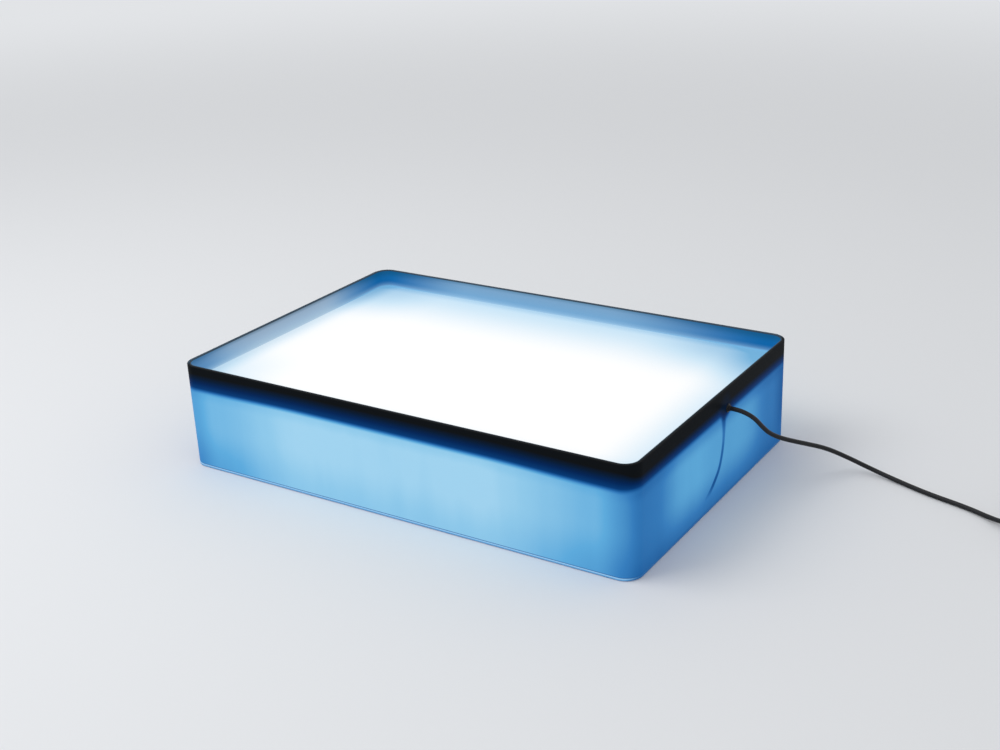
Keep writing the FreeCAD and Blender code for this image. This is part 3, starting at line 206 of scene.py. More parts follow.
class SwitchSizes(bpy.types.PropertyGroup):
    wall: span("Wall", "Thickness of the case", 1.8)
    edge: span("Edge", "Rounding of the case's top and bottom", 2)
    groove: span("Groove", "Depth and half height of the groove between the halves", 0.35)
    lip_edge: span("Lip edge", "Rounding of the groove's lips", 0.1)
    corner: span("Corner", "Radius of the case's corners", 6)
    corner_steps: count("Corner steps", "Facets in each corner", 10)
    edge_steps: count("Edge steps", "Facets in each rounded edge", 5)
    window_length: span("Window length", "Opening for the rocker, along the lead", 22)
    window_width: span("Window width", "Opening for the rocker, across the lead", 13)
    window_edge: span("Window edge", "Rounding of the opening's corners", 0.8)
    ridges: count("Ridges", "Finger ridges at each end", 5)
    ridge_start: span("Ridge start", "First ridge from the middle of the case", 15.5)
    ridge_pitch: span("Ridge pitch", "Step between the ridges", 2)
    ridge_length: span("Ridge length", "Length of a ridge", 14)
    ridge_width: span("Ridge width", "Width of a ridge", 0.9)
    ridge_height: span("Ridge height", "Height of a ridge", 0.35)
    ridge_root: span("Ridge root", "Depth of a ridge in the case", 0.5)
    ridge_edge: span("Ridge edge", "Rounding of a ridge", 0.3)
    axle_depth: span("Axle depth", "Axle below the top of the case", 2.6)
    key_length: span("Rocker length", "Length of the rocker", 19.6)
    key_width: span("Rocker width", "Width of the rocker", 12)
    key_rise: span("Rocker rise", "Height of the rocker's ends above the axle", 3.6)
    key_dip: span("Rocker dip", "Depth of the dish in the rocker's top", 1.2)
    key_hub: span("Rocker hub", "Radius of the rocker round its axle", 2.2)
    key_edge: span("Rocker edge", "Bevel along the rocker's long sides", 0.5)
    key_steps: count("Rocker steps", "Facets along the rocker's dish", 24)
    key_tilt: angle("Rocker tilt", "Tilt of the rocker at rest", 7)
    mark_reach: span("Mark reach", "From the middle of the rocker to each mark", 5.6)
    mark_tilt: angle("Mark tilt", "Slope of the dish under the marks", 9)
    bar_length: span("Bar length", "Length of the bar", 3.6)
    bar_width: span("Bar width", "Width of the bar", 0.7)
    ring_radius: span("Ring radius", "Outer radius of the ring", 1.9)
    ring_bore: span("Ring bore", "Inner radius of the ring", 1.3)
    mark_sunk: span("Mark sunk", "Depth of the marks in the rocker", 0.1)
    mark_proud: span("Mark proud", "Height of the marks over the rocker", 0.08)


class AdaptorSizes(bpy.types.PropertyGroup):
    wall: span("Wall", "Thickness of the case", 2)
    edge: span("Edge", "Rounding of the case's front and back", 3)
    groove: span("Groove", "Depth and half height of the groove between the halves", 0.4)
    lip_edge: span("Lip edge", "Rounding of the groove's lips", 0.15)
    corner: span("Corner", "Radius of the case's corners", 7)
    corner_steps: count("Corner steps", "Facets in each corner", 12)
    edge_steps: count("Edge steps", "Facets in each rounded edge", 6)
    pin_radius: span("Pin radius", "Radius of the pins", 2)
    pin_gap: span("Pin gap", "Space round the pins in the case", 0.1)
    pin_neck: span("Pin neck", "Radius of the pins inside the case", 1.4)
    pin_sleeve: span("Pin sleeve", "Length of the covered part of the pins", 9)
    pin_edge: span("Pin edge", "Step between the pin's cover and its tip", 0.2)
    ribs: count("Ribs", "Grip ribs on each side", 12)
    rib_pitch: span("Rib pitch", "Step between the ribs", 2.4)
    rib_lift: span("Rib lift", "Lower end of the ribs above the table", 7.5)
    rib_height: span("Rib height", "Height of the ribs", 13)
    rib_depth: span("Rib depth", "Thickness of a rib", 0.8)
    rib_width: span("Rib width", "Width of a rib", 1.2)
    rib_edge: span("Rib edge", "Rounding of a rib", 0.35)
    boot_rings: count("Boot rings", "Rings on the boot of the lead", 9)
    boot_root: span("Boot root", "Radius of the boot at the case", 4.2)
    boot_fall: span("Boot fall", "How much thinner the boot is at its tip", 1)
    boot_groove: span("Boot groove", "Depth of the grooves between the rings", 0.55)
    boot_lip: span("Boot lip", "Size of the rounding at the ends of the boot", 0.3)


class LeadSizes(bpy.types.PropertyGroup):
    diameter: span("Diameter", "Diameter of the supply lead", 5.2)
    on_table: span("Height on the table", "Height of the lead's centre where it lies down", 2.86)
    run_length: span("Run", "Length from the box to the switch", 405)
    coil_length: span("Coil", "Length from the switch to the adaptor, coil included", 1316)
    coil_gap: span("Coil gap", "Space between turns", 0.6)
    coil_radius: span("Coil radius", "Mean radius of the turns", 28.6)
    coil_x: span("Coil X", "Middle of the coil along the box", 673)
    coil_y: span("Coil Y", "Middle of the coil across the box", 206)
    coil_steps: count("Steps per turn", "Points in each turn of the coil", 16)
    coil_turns: bpy.props.FloatProperty(name="Turns", description="Turns in each layer", default=3.25, min=1)
    strap_clearance: span("Strap clearance", "Space between the strap and the turns", 0.35)
    strap_thickness: span("Strap thickness", "Thickness of the hook and loop strap", 0.8)
    strap_corner: span("Strap corner", "Radius of the strap's bends", 3.2)
    strap_edge: span("Strap edge", "Bevel along the strap's edges", 0.15)
    strap_inset: span("Strap tongue", "How much narrower the strap's loose end is at each side", 0.4)


class CameraSettings(bpy.types.PropertyGroup):
    lens: bpy.props.FloatProperty(
        name="Lens", description="Focal length on a sensor 36 mm wide", default=51.07, unit="CAMERA"
    )
    distance: span("Distance", "From the camera to the point it looks at", 1838.472)
    azimuth: angle("Azimuth", "Turn of the view to the right of the long front", 33.287)
    elevation: angle("Elevation", "Height of the view above the table's plane", 22.365)
    roll: angle("Roll", "Tilt of the picture", -2.496)
    target: position("Target", "The point in the middle of the picture", -62.899, 125.125, 40)


class StudioSettings(bpy.types.PropertyGroup):
    floor_size: span("Floor", "Side of the floor", 60000)
    floor_fades: span("Floor fades", "Distance at which the floor starts to turn into the backdrop", 1300)
    floor_ends: span("Floor ends", "Distance at which only the backdrop shows", 4500)
    floor: colour("Floor colour", "Pale floor", 226, 228, 231)
    sky: colour("Backdrop colour", "What shows beyond the floor", 226, 228, 231)
    sky_strength: bpy.props.FloatProperty(
        name="Sky", description="Strength of the even light", default=0.72, min=0
    )
    lamp_power: bpy.props.FloatProperty(
        name="Lamp", description="Power of the soft lamp", default=24, min=0, subtype="POWER"
    )
    lamp_side: span("Lamp side", "Side of the square soft lamp", 1600)
    lamp_place: position("Lamp place", "Where the soft lamp hangs", -1100, -1000, 2100)


class LightBoxSettings(bpy.types.PropertyGroup):
    box: group(BoxSizes, "Box", "Sizes of the box")
    glow: group(GlowColours, "Glow", "Colours of the lit parts")
    entry: group(EntrySizes, "Entry", "Sizes of the cable entry")
    screws: group(ScrewSizes, "Screws", "Sizes of the screws")
    switch: group(SwitchSizes, "Switch", "Sizes of the switch")
    adaptor: group(AdaptorSizes, "Adaptor", "Sizes of the adaptor")
    lead: group(LeadSizes, "Lead", "Sizes of the supply lead")
    camera: group(CameraSettings, "Camera", "The view")
    studio: group(StudioSettings, "Studio", "Floor and light")


def settings():
    return bpy.context.scene.light_box


# Materials
SOCKETS = {
    "metallic": "Metallic",
    "roughness": "Roughness",
    "specular": "Specular IOR Level",
    "sheen": "Sheen Weight",
}


class Term:
    """A socket that takes part in plain sums."""

    def __init__(self, paint, socket):
        self.paint = paint
        self.socket = socket

    def __add__(self, other):
        return self.paint.math("ADD", self, other)

    def __radd__(self, other):
        return self.paint.math("ADD", other, self)

    def __sub__(self, other):
        return self.paint.math("SUBTRACT", self, other)

    def __rsub__(self, other):
        return self.paint.math("SUBTRACT", other, self)

    def __mul__(self, other):
        return self.paint.math("MULTIPLY", self, other)

    def __rmul__(self, other):
        return self.paint.math("MULTIPLY", other, self)

    def __truediv__(self, other):
        return self.paint.math("DIVIDE", self, other)

    def __abs__(self):
        return self.paint.math("ABSOLUTE", self)


class Paint:
    """A finish in the making: a material's node tree, with plain formulas on its sockets."""

    def __init__(self, name, **values):
        self.material = bpy.data.materials.new(name)
        self.material.use_nodes = True
        self.tree = self.material.node_tree
        self.tree.nodes.clear()
        self.output = self.node("ShaderNodeOutputMaterial")
        self.shader = self.node("ShaderNodeBsdfPrincipled")
        self.tree.links.new(self.shader.outputs["BSDF"], self.output.inputs["Surface"])
        for key, value in values.items():
            self.shader.inputs[SOCKETS[key]].default_value = value
        scaled = self.node("ShaderNodeVectorMath", operation="SCALE")
        scaled.inputs["Scale"].default_value = 1 / MM
        self.tree.links.new(self.node("ShaderNodeTexCoord").outputs["Object"], scaled.inputs[0])
        self.spot = Term(self, scaled.outputs[0])
        split = self.node("ShaderNodeSeparateXYZ")
        self.feed(split.inputs[0], self.spot)
        self.x, self.y, self.z = [Term(self, socket) for socket in split.outputs]

    def node(self, kind, **properties):
        made = self.tree.nodes.new(kind)
        for name, value in properties.items():
            setattr(made, name, value)
        return made

    def feed(self, socket, value):
        """Gives a socket a number, a colour or the value of another socket."""
        if isinstance(value, Term):
            self.tree.links.new(value.socket, socket)
        elif socket.type == "RGBA":
            socket.default_value = (*value, 1)
        else:
            socket.default_value = value

    def math(self, operation, *values):
        made = self.node("ShaderNodeMath", operation=operation)
        for socket, value in zip(made.inputs, values):
            self.feed(socket, value)
        return Term(self, made.outputs[0])

    def most(self, one, other):
        return self.math("MAXIMUM", one, other)

    def least(self, one, other):
        return self.math("MINIMUM", one, other)

    def length(self, one, other):
        return self.math("SQRT", one * one + other * other)

    def rise(self, value, low, high, smooth=True):
        """From 0 at the low value to 1 at the high value."""
        made = self.node("ShaderNodeMapRange", interpolation_type="SMOOTHSTEP" if smooth else "LINEAR")
        for socket, given in zip(made.inputs, (value, low, high)):
            self.feed(socket, given)
        return Term(self, made.outputs[0])

    def fall(self, value, low, high):
        """From 1 at the low value to 0 at the high value."""
        return 1 - self.rise(value, low, high)

    def noise(self, scale, detail=2, stretch=(1, 1, 1)):
        """Even noise about one half, with a scale in marks per millimetre."""
        mapping = self.node("ShaderNodeMapping")
        mapping.inputs["Scale"].default_value = stretch
        self.feed(mapping.inputs["Vector"], self.spot)
        made = self.node("ShaderNodeTexNoise")
        made.inputs["Scale"].default_value = scale
        made.inputs["Detail"].default_value = detail
        self.feed(made.inputs["Vector"], Term(self, mapping.outputs[0]))
        return Term(self, made.outputs[0])

    def ramp(self, value, *stops):
        """A colour from a row of colours, each with its place between 0 and 1."""
        made = self.node("ShaderNodeValToRGB")
        elements = made.color_ramp.elements
        elements.remove(elements[1])
        for k, (place, shade) in enumerate(stops):
            element = elements.new(place) if k else elements[0]
            element.position = place
            element.color = (*shade, 1)
        self.feed(made.inputs[0], value)
        return Term(self, made.outputs[0])

    def mix(self, factor, first, second):
        """A colour between two others."""
        made = self.node("ShaderNodeMix", data_type="RGBA")
        self.feed(made.inputs[0], factor)
        self.feed(made.inputs[6], first)
        self.feed(made.inputs[7], second)
        return Term(self, made.outputs[2])

    def attribute(self, name):
        return Term(self, self.node("ShaderNodeAttribute", attribute_name=name).outputs["Fac"])

    def coat_with(self, shade):
        self.feed(self.shader.inputs["Base Color"], shade)
        return self

    def light_with(self, shade, own):
        """Shows a colour partly by its own light and partly by what falls on it."""
        self.feed(self.shader.inputs["Base Color"], self.mix(1 - own, (0, 0, 0), shade))
        self.feed(self.shader.inputs["Emission Color"], shade)
        self.shader.inputs["Emission Strength"].default_value = own
        return self

    def rough_with(self, value):
        self.feed(self.shader.inputs["Roughness"], value)
        return self

    def bump_with(self, height, depth):
        """Bumps of a depth in millimetres."""
        made = self.node("ShaderNodeBump")
        made.inputs["Distance"].default_value = depth * MM
        self.feed(made.inputs["Height"], height)
        self.feed(self.shader.inputs["Normal"], Term(self, made.outputs[0]))
        return self


def plastic(name, shade, deep, roughness, grain, depth, specular):
    """Moulded plastic: two near tones in soft clouds, and a fine spark-eroded grain."""
    paint = Paint(name, specular=specular)
    clouds, fine = paint.noise(0.12, 3), paint.noise(grain)
    paint.coat_with(paint.mix(clouds * 0.5 + fine * 0.5, screen(*deep), screen(*shade)))
    paint.rough_with(roughness + (fine - 0.5) * 0.12)
    return paint.bump_with(fine, depth).material


def metal(name, shade, deep, roughness, stretch):
    """Drawn or turned metal with fine lines along one way."""
    paint = Paint(name, metallic=1.0)
    lines = paint.noise(2.5, 3, stretch)
    paint.coat_with(paint.mix(lines, screen(*deep), screen(*shade)))
    paint.rough_with(roughness + (lines - 0.5) * 0.2)
    return paint.bump_with(lines, 0.01).material


# Where the thin lead inside the tub comes near the right-hand wall: across and up, in millimetres
LEAD_SHADOW = (
    (9.5, 112.0),
    (13.0, 95.0),
    (13.7, 79.0),
    (11.2, 60.6),
    (3.8, 42.3),
    (-6.4, 32.9),
    (-18.1, 23.9),
    (-29.8, 18.1),
)


def eased(points):
    """A line of points with its corners cut off, twice."""
    for _ in range(2):
        inner = []
        for start, end in zip(points, points[1:]):
            inner += [start.lerp(end, 0.25), start.lerp(end, 0.75)]
        points = [points[0], *inner[1:-1], points[-1]]
    return points


def on_the_right(paint):
    return paint.rise(paint.x, 0, 1)


def shadow_of_lead(paint):
    """A soft dark line where the inner lead shows through the wall, as a share from 0 to 1."""
    y, z = paint.y, paint.z
    route = eased([Vector(point) for point in LEAD_SHADOW])
    nearest = None
    for start, end in zip(route, route[1:]):
        way = end - start
        along = ((y - start.x) * way.x + (z - start.y) * way.y) / way.length_squared
        along = paint.least(paint.most(along, 0), 1)
        away = paint.length(y - start.x - along * way.x, z - start.y - along * way.y)
        nearest = away if nearest is None else paint.least(nearest, away)
    top = paint.rise(z, 70, 104)
    core = paint.fall(nearest, 1.4, 4.8 + top * 3) * (1 - paint.rise(z, 55, 80) * 0.3)
    halo = paint.fall(nearest, 2, 12) * top * 0.2
    return (core + halo) * paint.rise(z, 15, 32) * on_the_right(paint)


def dark_round_the_entry(paint):
    """Painted shade round the cable entry, where the dark band reaches down to the lead's shadow, as a share
    from 0 to 1.
    """
    middle_y, middle_z = ENTRY.y / MM - 6, ENTRY.z / MM + 4.5
    away = paint.length(paint.y - middle_y, paint.z - middle_z)
    return paint.fall(away, 5, 19) * on_the_right(paint)


def on_the_ends(paint):
    """1 on the end walls, 0 on the long walls and a share in between round the corners."""
    radius, tiny = settings().box.corner_radius, 0.0001
    toward_x = paint.rise(abs(paint.x), (HALF_X - radius) / MM, HALF_X / MM, smooth=False)
    toward_y = paint.rise(abs(paint.y), (HALF_Y - radius) / MM, HALF_Y / MM, smooth=False)
    square = toward_x * toward_x
    return paint.rise(square / (square + toward_y * toward_y + tiny), 0, 1)


def light_on_long_walls(paint):
    """How bright the long walls are: less towards their ends and at their foot."""
    outward = paint.rise(abs(paint.x), 120, 270)
    last_bit = paint.rise(abs(paint.x), 255, 292)
    right_half = paint.rise(paint.x, -50, 50)
    foot = paint.fall(paint.z, 0, 60)
    falling_off = outward * 0.115 + last_bit * (0.105 + right_half * 0.03)
    return 1 - falling_off - foot * (0.04 + outward * 0.045)


def light_on_end_walls(paint):
    """How bright the end walls are: one broad hump, dimmer at the foot, with the inner lead's shadow."""
    y, z = paint.y, paint.z
    dim = 0.6
    hump = 0.65 + paint.rise(y, -165, -75) * 0.19 - paint.rise(y, -60, 0) * 0.03
    hump = hump - paint.rise(y, 70, 140) * 0.16 - paint.rise(y, 150, 190) * 0.12
    height = 0.2 + paint.rise(z, 0, 55) * 0.8 - paint.rise(z, 80, 100) * 0.35
    return dim + (hump - dim) * height - paint.fall(z, 0, 25) * 0.03 - shadow_of_lead(paint) * 0.25


def into_the_band(paint, level, end):
    """Lets the light sink into the black band, which starts a little lower near the corners. The band is
    painted shade, over the real black frame behind the skin.
    """
    drop = paint.rise(abs(paint.x), 120, 275) * (1 - end) * 2.4
    above = paint.z + drop - FRAME_LOW.z / MM
    band = paint.most(0.42 - (above - 3 + end * 2) * (0.024 + end * 0.0135), 0)
    return level + (band - level) * paint.rise(above, -4.5 - end * 2, 4 - end * 1.5)


def lit_skin(name):
    """The glowing skin: brightest along the middle of the long walls, dim at the ends, and black on top,
    painted shade over the black frame behind it.
    """
    tone = settings().glow
    paint = Paint(name, roughness=0.42, specular=0.01)
    end = on_the_ends(paint)
    long_wall, end_wall = light_on_long_walls(paint), light_on_end_walls(paint)
    clouds = (paint.noise(0.03, 2, (1, 1, 0.15)) - 0.5) * 0.04
    level = long_wall + (end_wall - long_wall) * end - paint.rise(paint.z, 85, 100) * 0.03 + clouds
    level = into_the_band(paint, level, end)
    # Painted shade round the cable entry.
    level = level - (level - 0.08) * dark_round_the_entry(paint) * 0.8
    shade = paint.ramp(
        level, (0, tone.black), (0.12, tone.band_low), (0.26, tone.band_middle), (0.42, tone.band_high),
        (0.547, tone.dusk), (0.684, tone.shade), (0.848, tone.middle), (0.967, tone.bright), (1, tone.peak),
    )
    paint.light_with(shade, tone.glow)
    return paint.bump_with(paint.noise(1.6), 0.02).material


def off_the_corners(paint):
    """How far out of the middle a place lies, in millimetres: the corner radius all along the outline."""
    radius = settings().box.corner_radius
    away_x = paint.most(abs(paint.x) - (HALF_X - radius) / MM, 0)
    away_y = paint.most(abs(paint.y) - (HALF_Y - radius) / MM, 0)
    return paint.length(away_x, away_y)


def seam_rubber(name):
    """The gasket's edge: a dark line in painted blue light from the lit walls, which sinks into the end
    walls' glow.
    """
    tone = settings().glow
    paint = Paint(name, roughness=0.6, specular=0.04)
    end = paint.rise(abs(paint.x), HALF_X / MM - 14, HALF_X / MM - 0.6)
    shade = paint.mix(end, tone.seam, screen(40, 104, 168))
    # The gasket's own light is painted light from the lit walls.
    return paint.light_with(paint.mix(paint.noise(0.4) * 0.2, shade, tone.dusk), tone.tray_glow).material


def plate_plastic(name):
    """The base plate: clear-edged plastic that carries light to its rim, pale and plain underneath."""
    tone = settings().glow
    paint = Paint(name, roughness=0.3, specular=0.08)
    end = paint.rise(abs(paint.x), HALF_X / MM - 14, HALF_X / MM - 0.1)
    rim = paint.rise(off_the_corners(paint), 17, 19.3)
    top = paint.rise(paint.z, 1.9, 2.6) * (1 - end)
    foot = paint.fall(paint.z, 0.8, 1.6)
    end_foot = paint.fall(paint.z, 0, 3) * end
    lit = paint.mix(end, tone.plate, screen(44, 110, 172))
    lit = paint.mix(top, lit, screen(152, 202, 240))
    lit = paint.mix(foot, lit, screen(52, 118, 184))
    lit = paint.mix(end_foot, lit, screen(24, 86, 150))
    under = paint.mix(paint.noise(0.9, 3), screen(168, 190, 208), screen(178, 199, 215))
    return paint.light_with(paint.mix(rim, under, lit), tone.tray_glow).material


def opal_surface(name):
    """The light surface: white in the middle, bluer beside the walls, dimmest in the far right corner."""
    tone, wall = settings().glow, settings().box.wall
    paint = Paint(name, roughness=0.42, specular=0.1)
    half_x, half_y = (WALL_HIGH.x - wall) / MM, (WALL_HIGH.y - wall) / MM
    from_back, from_front = half_y - paint.y, paint.y + half_y
    from_right, from_left = half_x - paint.x, paint.x + half_x
    back = paint.fall(from_back, 0, 130) * 0.45 + paint.fall(from_back, 0, 18) * 0.2
    corner = paint.fall(from_right, 30, 190) * paint.fall(from_back, 10, 150) * 0.36
    right = paint.fall(from_right, 5, 75) * 0.36
    left = paint.fall(from_left, 0, 34) * 0.28
    left = left + paint.fall(from_left, 20, 120) * (paint.rise(abs(paint.y), 50, 150) * 0.22 + 0.02)
    front = paint.fall(from_front, 0, 60) * 0.25
    dim = back + corner + right + left + front
    shade = paint.ramp(dim, (0, tone.surface), (0.45, tone.surface_edge), (1, tone.surface_far))
    paint.light_with(shade, tone.surface_glow)
    return paint.bump_with(paint.noise(2.2), 0.01).material


def upstand_plastic(name):
    """The tray's wall in painted light from the glowing surface: bright at its foot, greyer upwards, painted
    deep blue shade in the corners and painted shade along the top.
    """
    tone = settings().glow
    paint = Paint(name, roughness=0.38, specular=0.08)
    x, y, z = paint.x, paint.y, paint.z
    foot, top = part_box("light_panel")[1].z / MM, WALL_HIGH.z / MM
    height = paint.rise(z, foot, top - 0.6, smooth=False)
    long_side = paint.ramp(
        height, (0, tone.wall_foot), (0.12, screen(140, 186, 222)), (0.3, tone.wall_middle),
        (0.8, screen(124, 166, 202)), (1, tone.wall_top),
    )
    short_side = paint.ramp(
        height, (0, screen(190, 214, 234)), (0.15, screen(174, 202, 224)), (0.4, screen(162, 190, 216)),
        (0.8, screen(152, 177, 202)), (1, screen(110, 136, 158)),
    )
    on_left = paint.fall(x, -296, -290) * paint.rise(y, -185, -50) * paint.fall(y, 55, 150)
    left_end, right_end = paint.fall(x, -294, -150), paint.rise(x, 50, 275)
    back = paint.rise(y, 60, 190) * paint.most(left_end, right_end)
    front = paint.fall(y, -195, -110) * 0.55
    # Painted shade: the corners darken to deep blue, less at the foot.
    depth = paint.most(back, front) * (0.4 + 0.6 * paint.rise(z, foot, foot + 9))
    shade = paint.mix(on_left, long_side, short_side)
    shade = paint.mix(depth, shade, tone.wall_corner_shade)
    # Painted light: a brighter foot in the back corners, next to the glowing surface.
    shade = paint.mix(paint.fall(z, foot, foot + 3) * back, shade, screen(128, 196, 238))
    # Painted shade: the corners darken further below the top.
    shade = paint.mix(depth * paint.rise(z, top - 12, top - 1) * 0.7, shade, screen(14, 86, 126))
    # Painted shade along the top edge.
    shade = paint.mix(paint.rise(z, top - 1, top - 0.4), shade, tone.top_edge_shade)
    # The wall's own light is painted light: it stands in for the glow of the light surface falling on it.
    paint.light_with(shade, tone.tray_glow)
    return paint.bump_with(paint.noise(1.4), 0.015).material


def rim_plastic(name):
    """The rim's edge: black, with a little of the tray's light on its top along the far sides."""
    paint = Paint(name, roughness=0.45, specular=0.025)
    fine = paint.noise(1.8)
    shade = paint.mix(fine, screen(13, 15, 17), screen(21, 23, 26))
    far = paint.most(paint.rise(paint.y, 188, 197), paint.fall(paint.x, -297, -288))
    inside = paint.fall(off_the_corners(paint), 18.2, 19.6)
    top = TRIM_HIGH.z / MM
    lit = far * inside * paint.rise(paint.z, top - 1.2, top - 0.4)
    paint.light_with(paint.mix(lit, shade, screen(56, 80, 100)), 0.3)
    return paint.bump_with(fine, 0.02).material


def link_wire(name):
    """Red and black wires in pairs, told apart by the lane that they lie in."""
    paint = Paint(name, roughness=0.42, specular=0.35)
    between = 187
    lane = paint.rise(paint.x, between - 0.2, between + 0.2)
    shade = paint.mix(lane, screen(150, 26, 24), screen(28, 28, 30))
    return paint.coat_with(paint.mix(paint.noise(1.2) * 0.3, shade, screen(90, 84, 82))).material


def circuit_board(name):
    """Green lacquered board with copper tracks under the lacquer."""
    paint = Paint(name, roughness=0.32, specular=0.4)
    pitch = 2.6
    rows = paint.rise(abs(paint.math("PINGPONG", paint.x, pitch) - pitch / 2), 0.55, 0.7)
    track = rows * paint.rise(paint.noise(0.16, 1), 0.46, 0.5)
    paint.coat_with(paint.mix(track, screen(22, 92, 54), screen(66, 128, 74)))
    return paint.bump_with(track, 0.03).material


def strip_board(name):
    """White lacquered lamp strip: two long copper tracks and tinned lands beside each lamp."""
    paint = Paint(name, roughness=0.35, specular=0.35)
    half_step, half_lane = 15.5, 30
    along = paint.math("PINGPONG", paint.x, half_step)
    across = abs(paint.math("PINGPONG", paint.y + half_lane, half_lane) - half_lane)
    land = paint.fall(abs(along - 11.4), 0.8, 1.0) * paint.fall(across, 1.6, 1.8)
    track = paint.fall(abs(across - 5.2), 0.5, 0.6)
    shade = paint.mix(track * 0.35, screen(232, 236, 238), screen(196, 178, 140))
    paint.coat_with(paint.mix(land, shade, screen(170, 172, 172)))
    return paint.bump_with(track + land, 0.03).material


def lamp_package(name):
    """White lamp housings with a lit yellow-white lens, told apart by an attribute of the mesh."""
    paint = Paint(name, roughness=0.3, specular=0.4)
    shade = paint.mix(paint.attribute("lens"), screen(228, 232, 234), screen(250, 238, 176))
    return paint.light_with(shade, 0.55).material


def copper_winding(name):
    """Wound copper under yellow tape."""
    paint = Paint(name, roughness=0.45, specular=0.4)
    pitch = 0.5
    turns = paint.rise(abs(paint.math("PINGPONG", paint.z, pitch) - pitch / 2), 0.05, 0.2)
    tape = paint.rise(paint.noise(0.08, 1), 0.4, 0.44)
    shade = paint.mix(turns, screen(120, 62, 30), screen(190, 112, 60))
    paint.coat_with(paint.mix(tape, shade, screen(214, 178, 64)))
    return paint.bump_with(turns, 0.08).material


def hook_and_loop(name):
    """Woven strap with a fuzz of loops."""
    paint = Paint(name, roughness=0.9, specular=0.1, sheen=0.25)
    pitch = 0.45
    fuzz, rows = paint.noise(3.2, 4), paint.math("PINGPONG", paint.x, pitch) / pitch
    paint.coat_with(paint.mix(fuzz, screen(18, 19, 21), screen(46, 47, 50)))
    return paint.bump_with(fuzz * 0.7 + rows * 0.3, 0.25).material


def cord_sheath(name):
    """Black flexible sheath with a dull bloom over a fine grain."""
    paint = Paint(name, specular=0.28)
    bloom, fine = paint.noise(0.09, 3), paint.noise(2.4)
    paint.coat_with(paint.mix(bloom * 0.6 + fine * 0.4, screen(15, 15, 17), screen(31, 31, 33)))
    paint.rough_with(0.42 + bloom * 0.14)
    return paint.bump_with(fine, 0.02).material


# The function that makes each finish, and what it takes. For plastic that is two screen colours,
# the roughness, the grain's marks per millimetre, its depth in millimetres and the gloss.
# For metal it is two screen colours, the roughness and how far the lines are drawn out.
FINISHES = {
    "lit_skin": (lit_skin,),
    "seam_rubber": (seam_rubber,),
    "plate_plastic": (plate_plastic,),
    "opal_surface": (opal_surface,),
    "upstand_plastic": (upstand_plastic,),
    "rim_plastic": (rim_plastic,),
    "link_wire": (link_wire,),
    "strip_board": (strip_board,),
    "driver_circuit": (circuit_board,),
    "lamp_package": (lamp_package,),
    "copper_winding": (copper_winding,),
    "hook_and_loop": (hook_and_loop,),
    "cord_sheath": (cord_sheath,),
    "frame_black": (plastic, (24, 25, 28), (14, 15, 17), 0.6, 1.4, 0.04, 0.08),
    "case_black": (plastic, (30, 30, 33), (19, 19, 21), 0.5, 1.6, 0.05, 0.3),
    "entry_black": (plastic, (26, 26, 28), (14, 14, 15), 0.45, 2.2, 0.02, 0.3),
    "rocker_black": (plastic, (24, 24, 26), (12, 12, 13), 0.24, 2.0, 0.01, 0.4),
    "mark_white": (plastic, (226, 226, 222), (204, 204, 200), 0.5, 2.0, 0.01, 0.3),
    "driver_white": (plastic, (226, 228, 228), (206, 209, 210), 0.45, 1.6, 0.05, 0.3),
    "reflector_film": (plastic, (240, 243, 245), (226, 231, 235), 0.35, 0.9, 0.02, 0.3),
    "foot_rubber": (plastic, (52, 53, 56), (36, 37, 39), 0.8, 2.6, 0.06, 0.2),
    "inner_sheath": (plastic, (44, 46, 50), (26, 27, 30), 0.5, 2.0, 0.03, 0.3),
    "zinc_plating": (metal, (196, 200, 204), (150, 154, 158), 0.34, (1, 1, 1)),
    "turned_steel": (metal, (188, 190, 194), (146, 148, 152), 0.28, (1, 0.1, 1)),
    "brass": (metal, (214, 178, 104), (170, 132, 66), 0.3, (0.1, 1, 1)),
    "nickel": (metal, (206, 204, 198), (166, 164, 158), 0.22, (1, 1, 0.1)),
}


def finish(name):
    """The material of that name, made on its first use."""
    make, *given = FINISHES[name]
    return bpy.data.materials.get(name) or make(name, *given)


# Shapes
SHARP = math.radians(32)
SAME_POINT = 1e-6


def link(piece):
    bpy.context.scene.collection.objects.link(piece)
    return piece


def loft(name, rows, material, closed=False, sharp=SHARP):
    """A skin over rings of equally many points, with its two ends capped or joined to each other."""
    width, total = len(rows[0]), len(rows)
    faces = []
    for a in range(total if closed else total - 1):
        b = (a + 1) % total
        for k in range(width):
            n = (k + 1) % width
            faces.append((a * width + k, a * width + n, b * width + n, b * width + k))
    if not closed:
        faces.append(range(width))
        faces.append(range((total - 1) * width, total * width))
    mesh = bpy.data.meshes.new(name)
    mesh.from_pydata([tuple(point) for row in rows for point in row], [], [tuple(face) for face in faces])
    form = bmesh.new()
    form.from_mesh(mesh)
    bmesh.ops.remove_doubles(form, verts=form.verts, dist=SAME_POINT)
    bmesh.ops.recalc_face_normals(form, faces=form.faces)
    form.to_mesh(mesh)
    form.free()
    mesh.shade_smooth()
    mesh.set_sharp_from_angle(angle=sharp)
    mesh.materials.append(finish(material))
    return link(bpy.data.objects.new(name, mesh))


